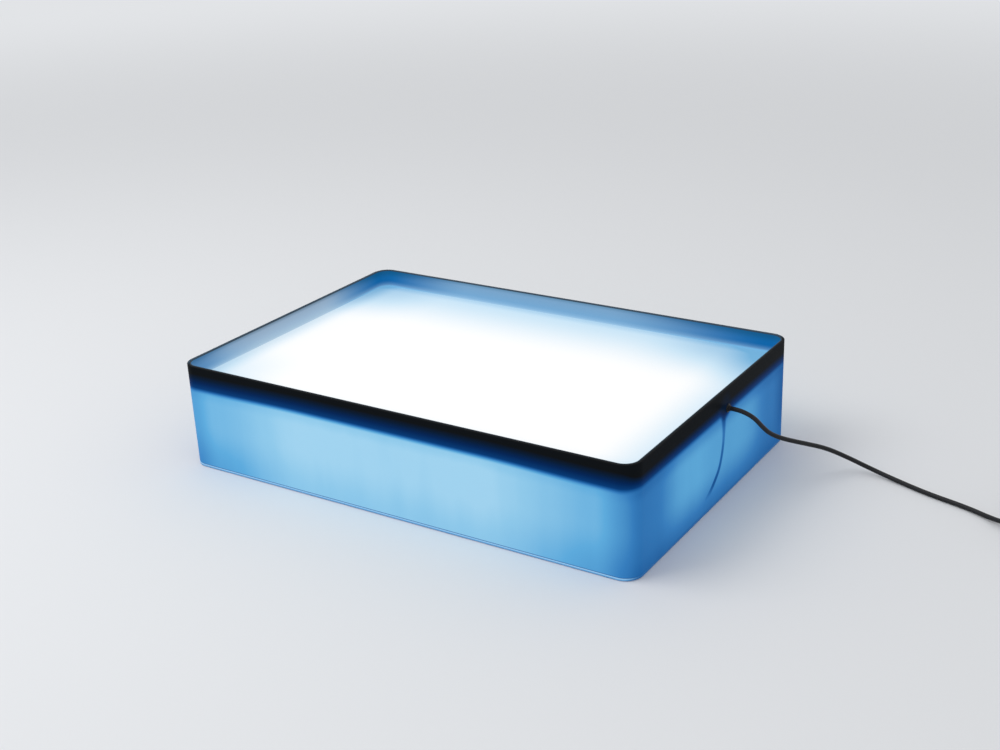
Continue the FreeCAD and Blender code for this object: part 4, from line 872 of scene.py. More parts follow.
def soften(corners, steps=4, closed=True):
    """The points of a profile whose corners, given as (inset, height, radius), are rounded."""
    points = []
    last = len(corners) - 1
    for k, (inset, height, radius) in enumerate(corners):
        here = Vector((inset, height))
        if radius == 0 or (not closed and k in (0, last)):
            points.append((inset, height))
            continue
        before = (Vector(corners[k - 1][:2]) - here).normalized()
        after = (Vector(corners[(k + 1) % len(corners)][:2]) - here).normalized()
        half = before.angle(after) / 2
        reach = radius / math.tan(half)
        centre = here + (before + after).normalized() * (radius / math.sin(half))
        start, end = here + before * reach - centre, here + after * reach - centre
        for s in range(steps + 1):
            points.append(tuple(centre + start.slerp(end, s / steps).normalized() * radius))
    return points


def slab(low, high, edge):
    """The corners of a flat slab's profile, with its top and bottom edges rounded."""
    return [(edge, low, 0), (0, low, edge), (0, high, edge), (edge, high, 0)]


def outline(half_x, half_y, radius, steps, centre):
    """The points of a rounded rectangle, counter-clockwise."""
    points = []
    for quarter, (side_x, side_y) in enumerate(((1, 1), (-1, 1), (-1, -1), (1, -1))):
        corner_x = centre[0] + side_x * (half_x - radius)
        corner_y = centre[1] + side_y * (half_y - radius)
        for k in range(steps + 1):
            turn = (quarter + k / steps) * math.pi / 2
            points.append((corner_x + radius * math.cos(turn), corner_y + radius * math.sin(turn)))
    return points


def sweep(name, profile, material, low, high, radius, steps, closed=True):
    """Carries a profile of insets and heights round a rounded rectangle: a ring, or a capped block."""
    half_x, half_y = (high[0] - low[0]) / 2, (high[1] - low[1]) / 2
    centre = ((high[0] + low[0]) / 2, (high[1] + low[1]) / 2)
    rows = []
    for inset, height in profile:
        path = outline(half_x - inset, half_y - inset, radius - inset, steps, centre)
        rows.append([(x, y, height) for x, y in path])
    return loft(name, rows, material, closed)


def box_ring(name, corners, material, closed=True, steps=4):
    """A ring or block that follows the light box's own outline."""
    box = settings().box
    profile = soften(corners, steps, closed)
    return sweep(name, profile, material, TUB_LOW, TUB_HIGH, box.corner_radius, box.corner_steps, closed)


def turned(name, profile, material, steps=48, base=(0, 0, 0), way=(0, 0, 1)):
    """A turned piece: a profile of (distance along the axis, radius) spun about an axis."""
    turn = Vector(way).to_track_quat("Z", "Y")
    swings = [2 * math.pi * k / steps for k in range(steps)]
    closed = profile[0] == profile[-1]
    rows = []
    for along, radius in profile[:-1] if closed else profile:
        ring = [(radius * math.cos(swing), radius * math.sin(swing), along) for swing in swings]
        rows.append([Vector(base) + turn @ Vector(point) for point in ring])
    return loft(name, rows, material, closed)


def block(name, low, high, material="zinc_plating", edge=0.01 * MM):
    """A rectangular block with its edges rounded a little. As it is given, it is a cutter."""
    profile = soften(slab(low[2], high[2], edge), 3, closed=False)
    return sweep(name, profile, material, low, high, edge, 4, closed=False)


def plain_mesh(piece):
    """Turns what a piece's modifiers make into its plain mesh."""
    graph = bpy.context.evaluated_depsgraph_get()
    made = piece.evaluated_get(graph)
    mesh = bpy.data.meshes.new_from_object(made, preserve_all_data_layers=True, depsgraph=graph)
    piece.modifiers.clear()
    piece.data = mesh


def carve(piece, *cutters):
    """Cuts closed shapes away from a piece, and uses them up."""
    for cutter in cutters:
        modifier = piece.modifiers.new("cut", "BOOLEAN")
        modifier.operation = "DIFFERENCE"
        modifier.solver = "EXACT"
        modifier.object = cutter
        plain_mesh(piece)
        bpy.data.objects.remove(cutter)
    piece.data.set_sharp_from_angle(angle=SHARP)


def join(name, *pieces):
    """Makes one piece of several that share a finish."""
    material = pieces[0].data.materials[0]
    form = bmesh.new()
    for piece in pieces:
        form.from_mesh(piece.data)
        bpy.data.meshes.remove(piece.data)
    mesh = bpy.data.meshes.new(name)
    form.to_mesh(mesh)
    form.free()
    mesh.materials.append(material)
    return link(bpy.data.objects.new(name, mesh))


def settle(piece, body, slot, *nodes):
    """Hands a finished piece over: the body it rides on and the CAD nodes it stands for, which are hidden;
    the slot is not used.
    """
    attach(piece, body)
    if nodes:
        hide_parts(*nodes)


# Geometry Nodes
def repeat_tree():
    """One piece set at every point of a mesh, each turned about Z by a seeded chance."""
    name = "Repeat At Places"
    if name in bpy.data.node_groups:
        return bpy.data.node_groups[name]
    tree = bpy.data.node_groups.new(name, "GeometryNodeTree")
    for label, kind in (
        ("Places", "NodeSocketGeometry"), ("Piece", "NodeSocketObject"), ("Turn", "NodeSocketFloat"),
        ("Seed", "NodeSocketInt"), ("Finish", "NodeSocketMaterial"),
    ):
        tree.interface.new_socket(label, in_out="INPUT", socket_type=kind)
    tree.interface.new_socket("Pieces", in_out="OUTPUT", socket_type="NodeSocketGeometry")
    given = tree.nodes.new("NodeGroupInput")
    points = tree.nodes.new("GeometryNodeMeshToPoints")
    info = tree.nodes.new("GeometryNodeObjectInfo")
    chance = tree.nodes.new("FunctionNodeRandomValue")
    angles = tree.nodes.new("ShaderNodeCombineXYZ")
    instances = tree.nodes.new("GeometryNodeInstanceOnPoints")
    real = tree.nodes.new("GeometryNodeRealizeInstances")
    finished = tree.nodes.new("GeometryNodeSetMaterial")
    out = tree.nodes.new("NodeGroupOutput")
    largest, chosen = 3, 1
    for start, output, end, socket in (
        (given, "Places", points, "Mesh"),
        (given, "Piece", info, "Object"),
        (given, "Turn", chance, largest),
        (given, "Seed", chance, "Seed"),
        (given, "Finish", finished, "Material"),
        (chance, chosen, angles, "Z"),
        (points, "Points", instances, "Points"),
        (info, "Geometry", instances, "Instance"),
        (angles, "Vector", instances, "Rotation"),
        (instances, "Instances", real, "Geometry"),
        (real, "Geometry", finished, "Geometry"),
        (finished, "Geometry", out, "Pieces"),
    ):
        tree.links.new(start.outputs[output], end.inputs[socket])
    return tree


def repeat(name, piece, places, turn=0.0, seed=7):
    """Copies of one piece at several places, as a single mesh. The piece itself is used up."""
    mesh = bpy.data.meshes.new(name)
    mesh.from_pydata([tuple(p) for p in places], [], [])
    made = link(bpy.data.objects.new(name, mesh))
    modifier = made.modifiers.new("repeat", "NODES")
    modifier.node_group = repeat_tree()
    inputs = {"Piece": piece, "Turn": turn, "Seed": seed, "Finish": piece.data.materials[0]}
    for item in modifier.node_group.interface.items_tree:
        if item.in_out == "INPUT" and item.name in inputs:
            modifier[item.identifier] = inputs[item.name]
    plain_mesh(made)
    bpy.data.objects.remove(piece)
    return made


def solids(node):
    """The lowest and the highest corner of each separate solid in a CAD node, in order of place."""
    form = bmesh.new()
    form.from_mesh(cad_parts[node].data)
    bmesh.ops.remove_doubles(form, verts=form.verts, dist=SAME_POINT)
    seen, corners = set(), []
    for first in form.verts:
        if first in seen:
            continue
        points, queue = [], [first]
        seen.add(first)
        while queue:
            vertex = queue.pop()
            points.append(vertex.co.copy())
            for edge in vertex.link_edges:
                other = edge.other_vert(vertex)
                if other not in seen:
                    seen.add(other)
                    queue.append(other)
        corners.append([Vector([pick(co[k] for co in points) for k in range(3)]) for pick in (min, max)])
    form.free()
    return sorted(corners, key=lambda pair: tuple(pair[0] + pair[1]))


def spots(node, height=0.0):
    """Where the solids of a CAD node stand, at one height."""
    middles = [(low + high) / 2 for low, high in solids(node)]
    return [(middle.x, middle.y, height) for middle in middles]


def holes(node, radius, low, high, steps=20):
    """Cutters for round holes at a CAD node's solids, from one height to another and past both."""
    past = settings().box.overrun
    hole = turned("hole", [(low - past, radius), (high + past, radius)], "zinc_plating", steps)
    return repeat("holes", hole, spots(node))


def entry_hole():
    """A cutter along X for the hole that the bush sits in."""
    entry = settings().entry
    start = (HALF_X - entry.hole_reach, ENTRY.y, ENTRY.z)
    profile = [(0, entry.hole), (2 * entry.hole_reach, entry.hole)]
    return turned("entry_hole", profile, "zinc_plating", base=start, way=(1, 0, 0))


def screw(shank, length, head, depth, countersunk=True):
    """A screw with a crossed recess, its head's outer face at zero and its shank along +Z."""
    if countersunk:
        top, profile = 0, [(0, head), (depth, shank), (length, shank)]
    else:
        top, profile = -depth, [(-depth, head * 0.55), (-depth * 0.8, head * 0.86), (-depth * 0.4, head)]
        profile += [(0, head), (0, shank), (length, shank)]
    made = turned("screw", profile, "zinc_plating", 24)
    reach, thin, deep = head * 0.62, head * 0.11, head * 0.5
    for x, y in ((reach, thin), (thin, reach)):
        carve(made, block("recess", (-x, -y, top - deep), (x, y, top + deep)))
    return made


# Operators
class LIGHTBOX_OT_camera(bpy.types.Operator):
    """Set the camera where the photograph was taken from"""

    bl_idname = "lightbox.camera"
    bl_label = "Camera"

    def execute(self, context):
        view = settings().camera
        level = math.cos(view.elevation)
        back = Vector(
            (math.sin(view.azimuth) * level, -math.cos(view.azimuth) * level, math.sin(view.elevation))
        )
        sensor_width, nearest, furthest = 36, 10 * MM, 200
        data = bpy.data.cameras.new("camera")
        data.sensor_width = sensor_width
        data.lens = view.lens
        data.clip_start = nearest
        data.clip_end = furthest
        camera = link(bpy.data.objects.new("camera", data))
        camera.rotation_mode = "QUATERNION"
        camera.location = Vector(view.target) + back * view.distance
        camera.rotation_quaternion = back.to_track_quat("Z", "Y") @ Quaternion((0, 0, 1), view.roll)
        context.scene.camera = camera
        return {"FINISHED"}


def lead_curve(name, points, diameter):
    """A round lead on one smooth spline."""
    curve = bpy.data.curves.new(name, "CURVE")
    curve.dimensions = "3D"
    spline = curve.splines.new("NURBS")
    spline.points.add(len(points) - 1)
    for point, where in zip(spline.points, points):
        point.co = (*where, 1)
    spline.order_u = 3
    spline.use_endpoint_u = True
    curve.resolution_u = 10
    curve.bevel_depth = diameter / 2
    curve.bevel_resolution = 5
    curve.use_fill_caps = True
    curve.materials.append(finish("cord_sheath"))
    return link(bpy.data.objects.new(name, curve))


def metres(*places):
    return [tuple(step * MM for step in place) for place in places]


class LIGHTBOX_OT_supply_lead(bpy.types.Operator):
    """Lay the supply lead from the box to the switch and on to its put-away coil"""

    bl_idname = "lightbox.supply_lead"
    bl_label = "Supply Lead"

    def execute(self, context):
        self.to_the_switch(settings().lead)
        self.to_the_adaptor(settings().lead)
        return {"FINISHED"}

    def to_the_switch(self, lead):
        low = lead.on_table / MM
        run = metres(
            (303.5, 23.0, 106.5),
            (309.6, 23.0, 106.5),
            (315.8, 24.4, 105.0),
            (321.0, 27.2, 102.0),
            (324.9, 31.0, 98.0),
            (328.0, 36.8, 91.9),
            (331.6, 45.9, 80.9),
            (336.4, 56.2, 69.6),
            (345.8, 70.4, 59.6),
            (361.0, 92.4, 48.4),
            (378.6, 119.2, 35.0),
            (397.0, 138.6, 19.6),
            (424.0, 146.4, 7.0),
            (455.0, 139.6, low),
            (497.0, 123.2, low),
            (541.0, 111.6, low),
            (570.0, 98.2, 3.6),
            (584.0, 88.4, 7.0),
            (596.0, 85.0, 9.0),
            (608.0, 85.0, 9.0),
        )
        first = lead_curve("supply_lead", run, lead.diameter)
        settle(first, "housing", "black_lead", "lead_to_switch")

    def to_the_adaptor(self, lead):
        onward = metres(
            (676.0, 85.0, 9.0),
            (685.0, 85.0, 9.0),
            (695.0, 88.6, 7.4),
            (703.2, 95.8, 5.9),
            (708.6, 106.4, 4.9),
            (711.4, 121.2, 4.3),
            (712.6, 140.6, 4.0),
            (712.4, 160.8, 3.9),
            (711.025, 180.4, 3.75),
            (711.025, 200.8, 3.75),
        )
        second = lead_curve("supply_lead_coil", onward + self.turns(lead), lead.diameter)
        settle(second, "housing", "black_lead", "lead_to_coil", "lead_coil")

    def turns(self, lead):
        """The coil: in on the table, up a layer in its innermost half turn, and out again on top."""
        layer = lead.coil_turns
        step = lead.diameter + lead.coil_gap
        low = lead.strap_thickness + lead.strap_clearance + lead.diameter / 2
        inner = lead.coil_radius - step * layer / 2
        spread = 1 / math.cos(math.pi / lead.coil_steps)
        points = []
        total = int(2 * layer * lead.coil_steps)
        for k in range(1, total + 1):
            turn = k / lead.coil_steps
            climb = min(max((turn - layer) * 2 + 0.5, 0), 1)
            height = low + step * climb * climb * (3 - 2 * climb)
            radius = (inner + step * abs(turn - layer)) * (spread if k < total else 1)
            swing = 2 * math.pi * turn
            x, y = lead.coil_x + radius * math.cos(swing), lead.coil_y + radius * math.sin(swing)
            points.append((x, y, height))
        points.append((x, y - lead.diameter, height))
        return points


class LIGHTBOX_OT_cable_entry(bpy.types.Operator):
    """Make the bush in the end wall and the moulded sleeve of the lead"""

    bl_idname = "lightbox.cable_entry"
    bl_label = "Cable Entry"

    def execute(self, context):
        self.bush(settings().entry)
        self.sleeve(settings().entry)
        return {"FINISHED"}

    def spun(self, name, profile):
        """A piece turned about the lead, from a profile measured from the end wall outwards."""
        return turned(name, profile, "entry_black", base=(HALF_X, ENTRY.y, ENTRY.z), way=(1, 0, 0))

    def bush(self, entry):
        bore, barrel, flange, edge = entry.bore, entry.barrel, entry.flange, entry.edge
        back, front = BUSH_LOW.x - HALF_X, BUSH_HIGH.x - HALF_X
        bush = self.spun(
            "entry_bush",
            [
                (back, bore), (back, barrel - edge * 0.4), (back + edge * 0.4, barrel), (0, barrel),
                (0, flange), (edge * 0.4, flange), (front - edge * 0.35, flange - edge * 0.15),
                (front - edge * 0.08, flange - edge * 0.5), (front, flange - edge),
                (front, bore + edge * 0.5), (front - edge * 0.3, bore), (back, bore),
            ],
        )
        settle(bush, "housing", "black_gland", "gland_bush")

    def sleeve(self, entry):
        """The lead's sleeve: smooth inside the bush, with rings that get thinner outside it."""
        core, nose, edge = entry.core, entry.nose, entry.edge
        start, front, end = SLEEVE_LOW.x - HALF_X, BUSH_HIGH.x - HALF_X, SLEEVE_HIGH.x - HALF_X
        pitch = (end - front) / entry.rings
        profile = [(start, core - edge * 0.5), (start + edge * 0.3, core), (front, core)]
        for k in range(entry.rings):
            foot = front + k * pitch
            radius = nose + (core + edge * 0.05 - nose) * k / entry.rings
            profile += [
                (foot + edge * 0.02, radius - edge * 0.25), (foot + edge * 0.15, radius),
                (foot + pitch - edge * 0.2, radius - edge * 0.1),
                (foot + pitch - edge * 0.06, radius - edge * 0.35),
            ]
        profile.append((end, core - edge * 0.15))
        settle(self.spun("entry_sleeve", profile), "housing", "black_lead", "lead_sleeve")


class LIGHTBOX_OT_base(bpy.types.Operator):
    """Make the base plate, the gasket, the feet and the screws under the box"""

    bl_idname = "lightbox.base"
    bl_label = "Base"

    def execute(self, context):
        box, sizes = settings().box, settings().screws
        self.plate(box, sizes)
        self.gasket(box, sizes)
        self.feet()
        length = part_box("base_screws")[1].z - PLATE_LOW.z
        part = screw(sizes.base_shank, length, sizes.base_head, sizes.base_depth)
        heads = repeat("base_plate_screws", part, spots("base_screws", PLATE_LOW.z), math.pi)
        settle(heads, "housing", "zinc", "base_screws")
        return {"FINISHED"}

    def plate(self, box, sizes):
        low, high = PLATE_LOW.z, PLATE_HIGH.z
        plate = box_ring("base_plate_clear", slab(low, high, box.plate_edge), "plate_plastic", closed=False)
        head, hole, depth = sizes.base_head + sizes.sink_gap, sizes.base_hole, sizes.base_depth
        past = box.overrun
        wide = head + (head - hole) / depth * past
        profile = [(low - past, wide), (low + depth, hole), (high + past, hole)]
        sinks = repeat("sinks", turned("sink", profile, "zinc_plating", 24), spots("base_screws"))
        carve(plate, sinks, holes("strip_screws", sizes.strip_hole, low, high))
        settle(plate, "housing", "base", "base_plate")

    def gasket(self, box, sizes):
        low, high, edge = GASKET_LOW.z, GASKET_HIGH.z, box.seam_edge
        outer = HALF_X - GASKET_HIGH.x
        inner = outer + box.seam_width
        corners = [(outer, low, edge), (outer, high, edge), (inner, high, 0), (inner, low, 0)]
        gasket = box_ring("seam_gasket", corners, "seam_rubber")
        carve(gasket, holes("base_screws", sizes.base_hole, low, high))
        settle(gasket, "housing", "seal_rubber", "base_gasket")

    def feet(self):
        low, high = solids("foot_pads")[0]
        radius, height, lip = (high.x - low.x) / 2, high.z, 0.1 * MM
        profile = [(0, radius * 0.86), (lip, radius * 0.94), (height * 0.7, radius), (height, radius * 0.99)]
        feet = repeat("rubber_feet", turned("foot", profile, "foot_rubber", 40), spots("foot_pads"))
        settle(feet, "housing", "pad_rubber", "foot_pads")


class LIGHTBOX_OT_tub(bpy.types.Operator):
    """Make the lit tub with its foot flange"""

    bl_idname = "lightbox.tub"
    bl_label = "Lit Tub"

    def execute(self, context):
        box, sizes = settings().box, settings().screws
        low, high = TUB_LOW.z, TUB_HIGH.z
        top, inner = low + box.flange_height, box.skin + box.flange
        tub = box_ring(
            "lit_tub",
            [
                (0, low, box.skin_edge), (0, high, 0), (box.skin, high, 0), (box.skin, top, box.flange_root),
                (inner, top, box.flange_edge), (inner, low, 0),
            ],
            "lit_skin",
        )
        carve(tub, holes("base_screws", sizes.base_hole, low, top), entry_hole())
        settle(tub, "housing", "tub", "translucent_tub")
        return {"FINISHED"}


class LIGHTBOX_OT_rim(bpy.types.Operator):
    """Make the black frame behind the skin and the edge on top of it"""

    bl_idname = "lightbox.rim"
    bl_label = "Rim"

    def execute(self, context):
        box = settings().box
        out, leg = box.skin, box.skin + box.frame_leg
        self.black_frame(box, out, leg)
        low, high, edge = TRIM_LOW.z, TRIM_HIGH.z, box.rim_edge
        corners = [(0, low, 0), (0, high, edge), (leg, high, edge * 0.6), (leg, low, 0)]
        trim = box_ring("rim_edge_strip", corners, "rim_plastic", steps=5)
        settle(trim, "housing", "rim_black", "edge_trim")
        return {"FINISHED"}

    def black_frame(self, box, out, leg):
        """An upright leg behind the skin and a ledge for the tray, notched for the cable entry."""
        low, high, edge = FRAME_LOW.z, FRAME_HIGH.z, box.frame_edge
        ledge, shelf = leg + box.frame_ledge, low + box.frame_ledge_height
        corners = [(out, low, 0), (ledge, low, edge), (ledge, shelf, edge), (leg, shelf, edge)]
        corners += [(leg, high, 0), (out, high, 0)]
        piece = box_ring("black_frame", corners, "frame_black")
        right, half = HALF_X - leg, box.notch / 2
        start = (right - box.notch_depth, ENTRY.y - half, low - box.overrun)
        notch = block("notch", start, (right, ENTRY.y + half, shelf + box.notch_clearance))
        carve(piece, notch, entry_hole())
        settle(piece, "housing", "black_band", "blackout_frame")


class LIGHTBOX_OT_tray(bpy.types.Operator):
    """Make the tray's upstand and the cover over the cable entry"""

    bl_idname = "lightbox.tray"
    bl_label = "Tray"

    def execute(self, context):
        self.upstand(settings().box)
        self.cover(settings().box)
        return {"FINISHED"}

    def upstand(self, box):
        low, high, edge = WALL_LOW.z, WALL_HIGH.z, box.wall_edge
        out = HALF_X - WALL_HIGH.x
        inner = out + box.wall
        corners = [(out, low, 0), (out, high, edge), (inner, high, edge), (inner, low, 0)]
        wall = box_ring("tray_upstand", corners, "upstand_plastic")
        past, half = box.overrun, box.notch / 2
        start = (HALF_X - inner - past, ENTRY.y - half, low - past)
        carve(wall, block("slot", start, (HALF_X - out + past, ENTRY.y + half, low + box.slot_height)))
        settle(wall, "tray", "tray", "tray_wall")

    def cover(self, box):
        """A hollow cover, open below and to the wall, that laps into the wall by half its thickness."""
        low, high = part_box("lead_cover")
        reach, thick, edge = high.x + box.wall / 2, box.cover_wall, box.cover_edge
        profile = soften([(0, low.z, 0), (0, high.z, edge), (edge, high.z, 0)], 5, closed=False)
        far = (reach, high.y)
        cover = sweep("entry_cover", profile, "upstand_plastic", low, far, box.cover_corner, 8, closed=False)
        start = (low.x + thick, low.y + thick, low.z - box.overrun)
        carve(cover, block("room", start, (reach + box.overrun, high.y - thick, high.z - thick)))
        settle(cover, "tray", "tray", "lead_cover")


class LIGHTBOX_OT_lamps(bpy.types.Operator):
    """Make the lamps on their strips and the screws that hold the strips"""

    bl_idname = "lightbox.lamps"
    bl_label = "Lamps"

    def execute(self, context):
        for row in LAMP_ROWS:
            node = f"lamps_{row}"
            low, high = solids(node)[0]
            lamps = repeat(f"lamp_row_{row}", self.lamp(high - low), spots(node, low.z))
            settle(lamps, "housing", "lamp", node)
        sizes = settings().screws
        top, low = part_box("lamp_strip_1")[1].z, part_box("strip_screws")[0].z
        part = screw(sizes.strip_shank, top - low, sizes.strip_head, sizes.strip_depth, countersunk=False)
        part.data.transform(Matrix.Rotation(math.pi, 4, "X"))
        heads = repeat("lamp_strip_screws", part, spots("strip_screws", top), math.pi, seed=11)
        settle(heads, "housing", "zinc", "strip_screws")
        return {"FINISHED"}

    def lamp(self, size):
        """One lamp: a square housing and a low round lens, told apart by an attribute of the mesh."""
        half, high, edge = size.x / 2, size.z, 0.3 * MM
        seat, radius = high * 0.8, half * 0.78
        case = block("lamp_case", (-half, -half, 0), (half, half, seat), "lamp_package", edge)
        dome = [(seat, radius), (high * 0.88, radius * 0.95), (high * 0.95, radius * 0.75)]
        lens = turned("lamp_lens", dome + [(high, radius * 0.4), (high, radius * 0.05)], "lamp_package", 16)
        for piece, value in ((case, 0.0), (lens, 1.0)):
            marks = piece.data.attributes.new("lens", "FLOAT", "POINT")
            marks.data.foreach_set("value", [value] * len(piece.data.vertices))
        return join("lamp", case, lens)


def half_case(name, case, outer, split, low, high):
    """One half of a moulded case, from its outer face to the groove where the two halves meet."""
    way = 1 if split > outer else -1
    edge, wall, groove, lip = case.edge, case.wall, case.groove, case.lip_edge
    corners = [
        (edge, outer, 0), (0, outer, edge), (0, split - groove * way, lip), (groove, split - groove * way, 0),
        (groove, split, 0), (wall, split, 0), (wall, outer + wall * way, 0),
    ]
    profile = soften(corners, case.edge_steps, closed=False)
    return sweep(name, profile, "case_black", low, high, case.corner, case.corner_steps, closed=False)


# The switch's collar: distance out of the case and radius, in millimetres
COLLAR = (
    (-0.8, 4.4),
    (0.9, 4.4),
    (1.2, 3.9),
    (1.8, 3.9),
    (2.1, 4.15),
    (2.9, 4.05),
    (3.2, 3.6),
    (3.8, 3.6),
    (4.1, 3.8),
    (5.2, 3.65),
    (5.8, 3.4),
    (6.0, 3.0),
)


class LIGHTBOX_OT_switch(bpy.types.Operator):
    """Make the in-line switch: two moulded halves, a rocker with its marks, and its screws"""

    bl_idname = "lightbox.switch"
    bl_label = "Switch"

    def execute(self, context):
        switch, sizes = settings().switch, settings().screws
        low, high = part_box("switch_cover")
        middle = (low + high) / 2
        top = Vector((middle.x, middle.y, high.z))
        lower = half_case("lower", switch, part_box("switch_base")[0].z, low.z, low, high)
        collars = [
            turned("collar", metres(*COLLAR), "case_black", 32, (end.x, middle.y, low.z), (side, 0, 0))
            for end, side in ((low, -1), (high, 1))
        ]
        settle(join("switch_lower_half", lower, *collars), "housing", "black_case", "switch_base")
        upper = half_case("upper", switch, high.z, low.z, low, high)
        reach = Vector((switch.window_length, switch.window_width, 0)) / 2
        deep, past = Vector((0, 0, 2 * switch.wall)), Vector((0, 0, settings().box.overrun))
        carve(upper, block("window", top - reach - deep, top + reach + past, edge=switch.window_edge))
        upper = join("switch_upper_half", upper, self.ridges(switch, top))
        settle(upper, "housing", "black_case", "switch_cover")
        self.rocker(switch, top)
        low, high = solids("switch_screws")[0]
        part = screw(sizes.switch_shank, high.z - low.z, sizes.switch_head, sizes.switch_depth)
        screws = repeat("switch_case_screws", part, spots("switch_screws", low.z), math.pi, seed=5)
        settle(screws, "housing", "zinc", "switch_screws")
        return {"FINISHED"}

    def ridges(self, switch, top):
        """Finger ridges across both ends of the case."""
        half = Vector((switch.ridge_width, switch.ridge_length, 0)) / 2
        root, crest = Vector((0, 0, switch.ridge_root)), Vector((0, 0, switch.ridge_height))
        ridge = block("ridge", -half - root, half + crest, "case_black", switch.ridge_edge)
        steps = [switch.ridge_start + switch.ridge_pitch * k for k in range(switch.ridges)]
        places = [(top.x + side * step, top.y, top.z) for side in (-1, 1) for step in steps]
        return repeat("ridges", ridge, places)

    def rocker(self, switch, top):
        """The rocker with a dished top, and the bar and ring that mark its two ends."""
        key, marks = self.key(switch), self.marks(switch)
        axle = top - Vector((0, 0, switch.axle_depth))
        tilt = Matrix.Rotation(switch.key_tilt, 4, "Y")
        for piece in (key, marks):
            piece.data.transform(Matrix.Translation(axle) @ tilt)
        settle(key, "rocker", "rocker", "switch_rocker")
        settle(marks, "rocker", "rocker")

    def dish(self, switch, x):
        """The height of the rocker's top over its axle, at a distance from its middle."""
        off, hollow = abs(x * 2 / switch.key_length), 1.6
        return switch.key_rise - switch.key_dip * (1 - off ** hollow)

    def key(self, switch):
        half, across = switch.key_length / 2, switch.key_width / 2
        edge, hub, steps = switch.key_edge, switch.key_hub, switch.key_steps
        rows = []
        for inset, y in ((edge, -across), (0, edge - across), (0, across - edge), (edge, across)):
            end = half - inset
            row = [(end * (2 * k / steps - 1), y) for k in range(steps + 1)]
            row = [(x, y, self.dish(switch, x) - inset) for x, y in row]
            rows.append(row + [(end, y, 0), (hub, y, -hub), (-hub, y, -hub), (-end, y, 0)])
        return loft("switch_rocker_key", rows, "rocker_black", sharp=math.radians(40))

    def marks(self, switch):
        low, high, reach, slope = -switch.mark_sunk, switch.mark_proud, switch.mark_reach, switch.mark_tilt
        across, along = switch.bar_length / 2, switch.bar_width / 2
        bar = block("bar", (-along, -across, low), (along, across, high), "mark_white")
        inner, outer = switch.ring_bore, switch.ring_radius
        profile = [(low, inner), (low, outer), (high, outer), (high, inner), (low, inner)]
        ring = turned("ring", profile, "mark_white", 28)
        for mark, x, lean in ((bar, reach, -slope), (ring, -reach, slope)):
            place = Matrix.Translation((x, 0, self.dish(switch, x)))
            mark.data.transform(place @ Matrix.Rotation(lean, 4, "Y"))
        return join("switch_rocker_marks", bar, ring)


class LIGHTBOX_OT_adaptor(bpy.types.Operator):
    """Make the plug-in power adaptor at the end of the lead"""

    bl_idname = "lightbox.adaptor"
    bl_label = "Power Adaptor"

    def execute(self, context):
        adaptor = settings().adaptor
        low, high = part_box("adaptor_lower_shell")
        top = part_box("adaptor_upper_shell")[1].z
        back = half_case("adaptor_back", adaptor, low.z, high.z, low, high)
        settle(back, "housing", "black_case", "adaptor_lower_shell")
        front = half_case("adaptor_front", adaptor, top, high.z, low, high)
        carve(front, holes("adaptor_pins", adaptor.pin_radius + adaptor.pin_gap, top - adaptor.wall, top, 24))
        settle(front, "housing", "black_case", "adaptor_upper_shell")
        self.ribs(adaptor, low, high)
        self.pins(adaptor, top)
        self.boot(adaptor)
        return {"FINISHED"}

    def ribs(self, adaptor, low, high):
        """Grip ribs down both sides of the case."""
        deep, wide = adaptor.rib_depth / 2, adaptor.rib_width / 2
        corner = (deep, wide, adaptor.rib_height)
        rib = block("rib", (-deep, -wide, 0), corner, "case_black", adaptor.rib_edge)
        middle, height = (low.y + high.y) / 2, low.z + adaptor.rib_lift
        first = middle - adaptor.rib_pitch * (adaptor.ribs - 1) / 2
        steps = [first + adaptor.rib_pitch * k for k in range(adaptor.ribs)]
        ribs = repeat("adaptor_grip_ribs", rib, [(x, y, height) for x in (low.x, high.x) for y in steps])
        settle(ribs, "housing", "black_case")

    def pins(self, adaptor, top):
        """The covered roots of the pins and their bare metal tips."""
        foot, tip = [corner.z for corner in solids("adaptor_pins")[0]]
        radius, neck, step = adaptor.pin_radius, adaptor.pin_neck, adaptor.pin_edge
        cover = top + adaptor.pin_sleeve
        root = [(foot, neck), (foot, radius), (cover, radius), (cover + step, radius - step)]
        roots = repeat("adaptor_pin_roots", turned("root", root, "entry_black", 28), spots("adaptor_pins"))
        settle(roots, "housing", "pin")
        bare = [
            (cover - radius / 2, radius * 0.85), (cover + step, radius), (tip - radius * 0.8, radius),
            (tip - radius * 0.45, radius * 0.9), (tip - radius * 0.175, radius * 0.65),
            (tip - radius * 0.025, radius * 0.3), (tip, radius * 0.1),
        ]
        tips = repeat("adaptor_pin_tips", turned("tip", bare, "nickel", 28), spots("adaptor_pins"))
        settle(tips, "housing", "pin", "adaptor_pins")

    def boot(self, adaptor):
        """The ringed boot of the lead, thinner towards its end."""
        low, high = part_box("adaptor_sleeve")
        middle, length = (low + high) / 2, high.y - low.y
        root, fall, groove, lip = adaptor.boot_root, adaptor.boot_fall, adaptor.boot_groove, adaptor.boot_lip
        first, ringed, rings = length * 0.06, length * 0.88, adaptor.boot_rings
        pitch, tip, swell = ringed / rings, root - fall, 0.04 * MM
        profile = [(-5 * lip, root - lip * 2), (0, root - lip / 6)]
        for k in range(rings):
            start = first + k * pitch
            radius = root - fall * start / length
            bottom = radius - groove
            profile += [
                (start, radius), (start + pitch * 0.5, radius - swell), (start + pitch * 0.62, bottom),
                (start + pitch * 0.88, bottom),
            ]
        profile += [(length * 0.95, tip), (length - lip, tip - lip / 6), (length, tip - lip)]
        boot = turned("adaptor_boot", profile, "entry_black", 36, (middle.x, low.y, middle.z), (0, 1, 0))
        settle(boot, "housing", "black_case", "adaptor_sleeve")


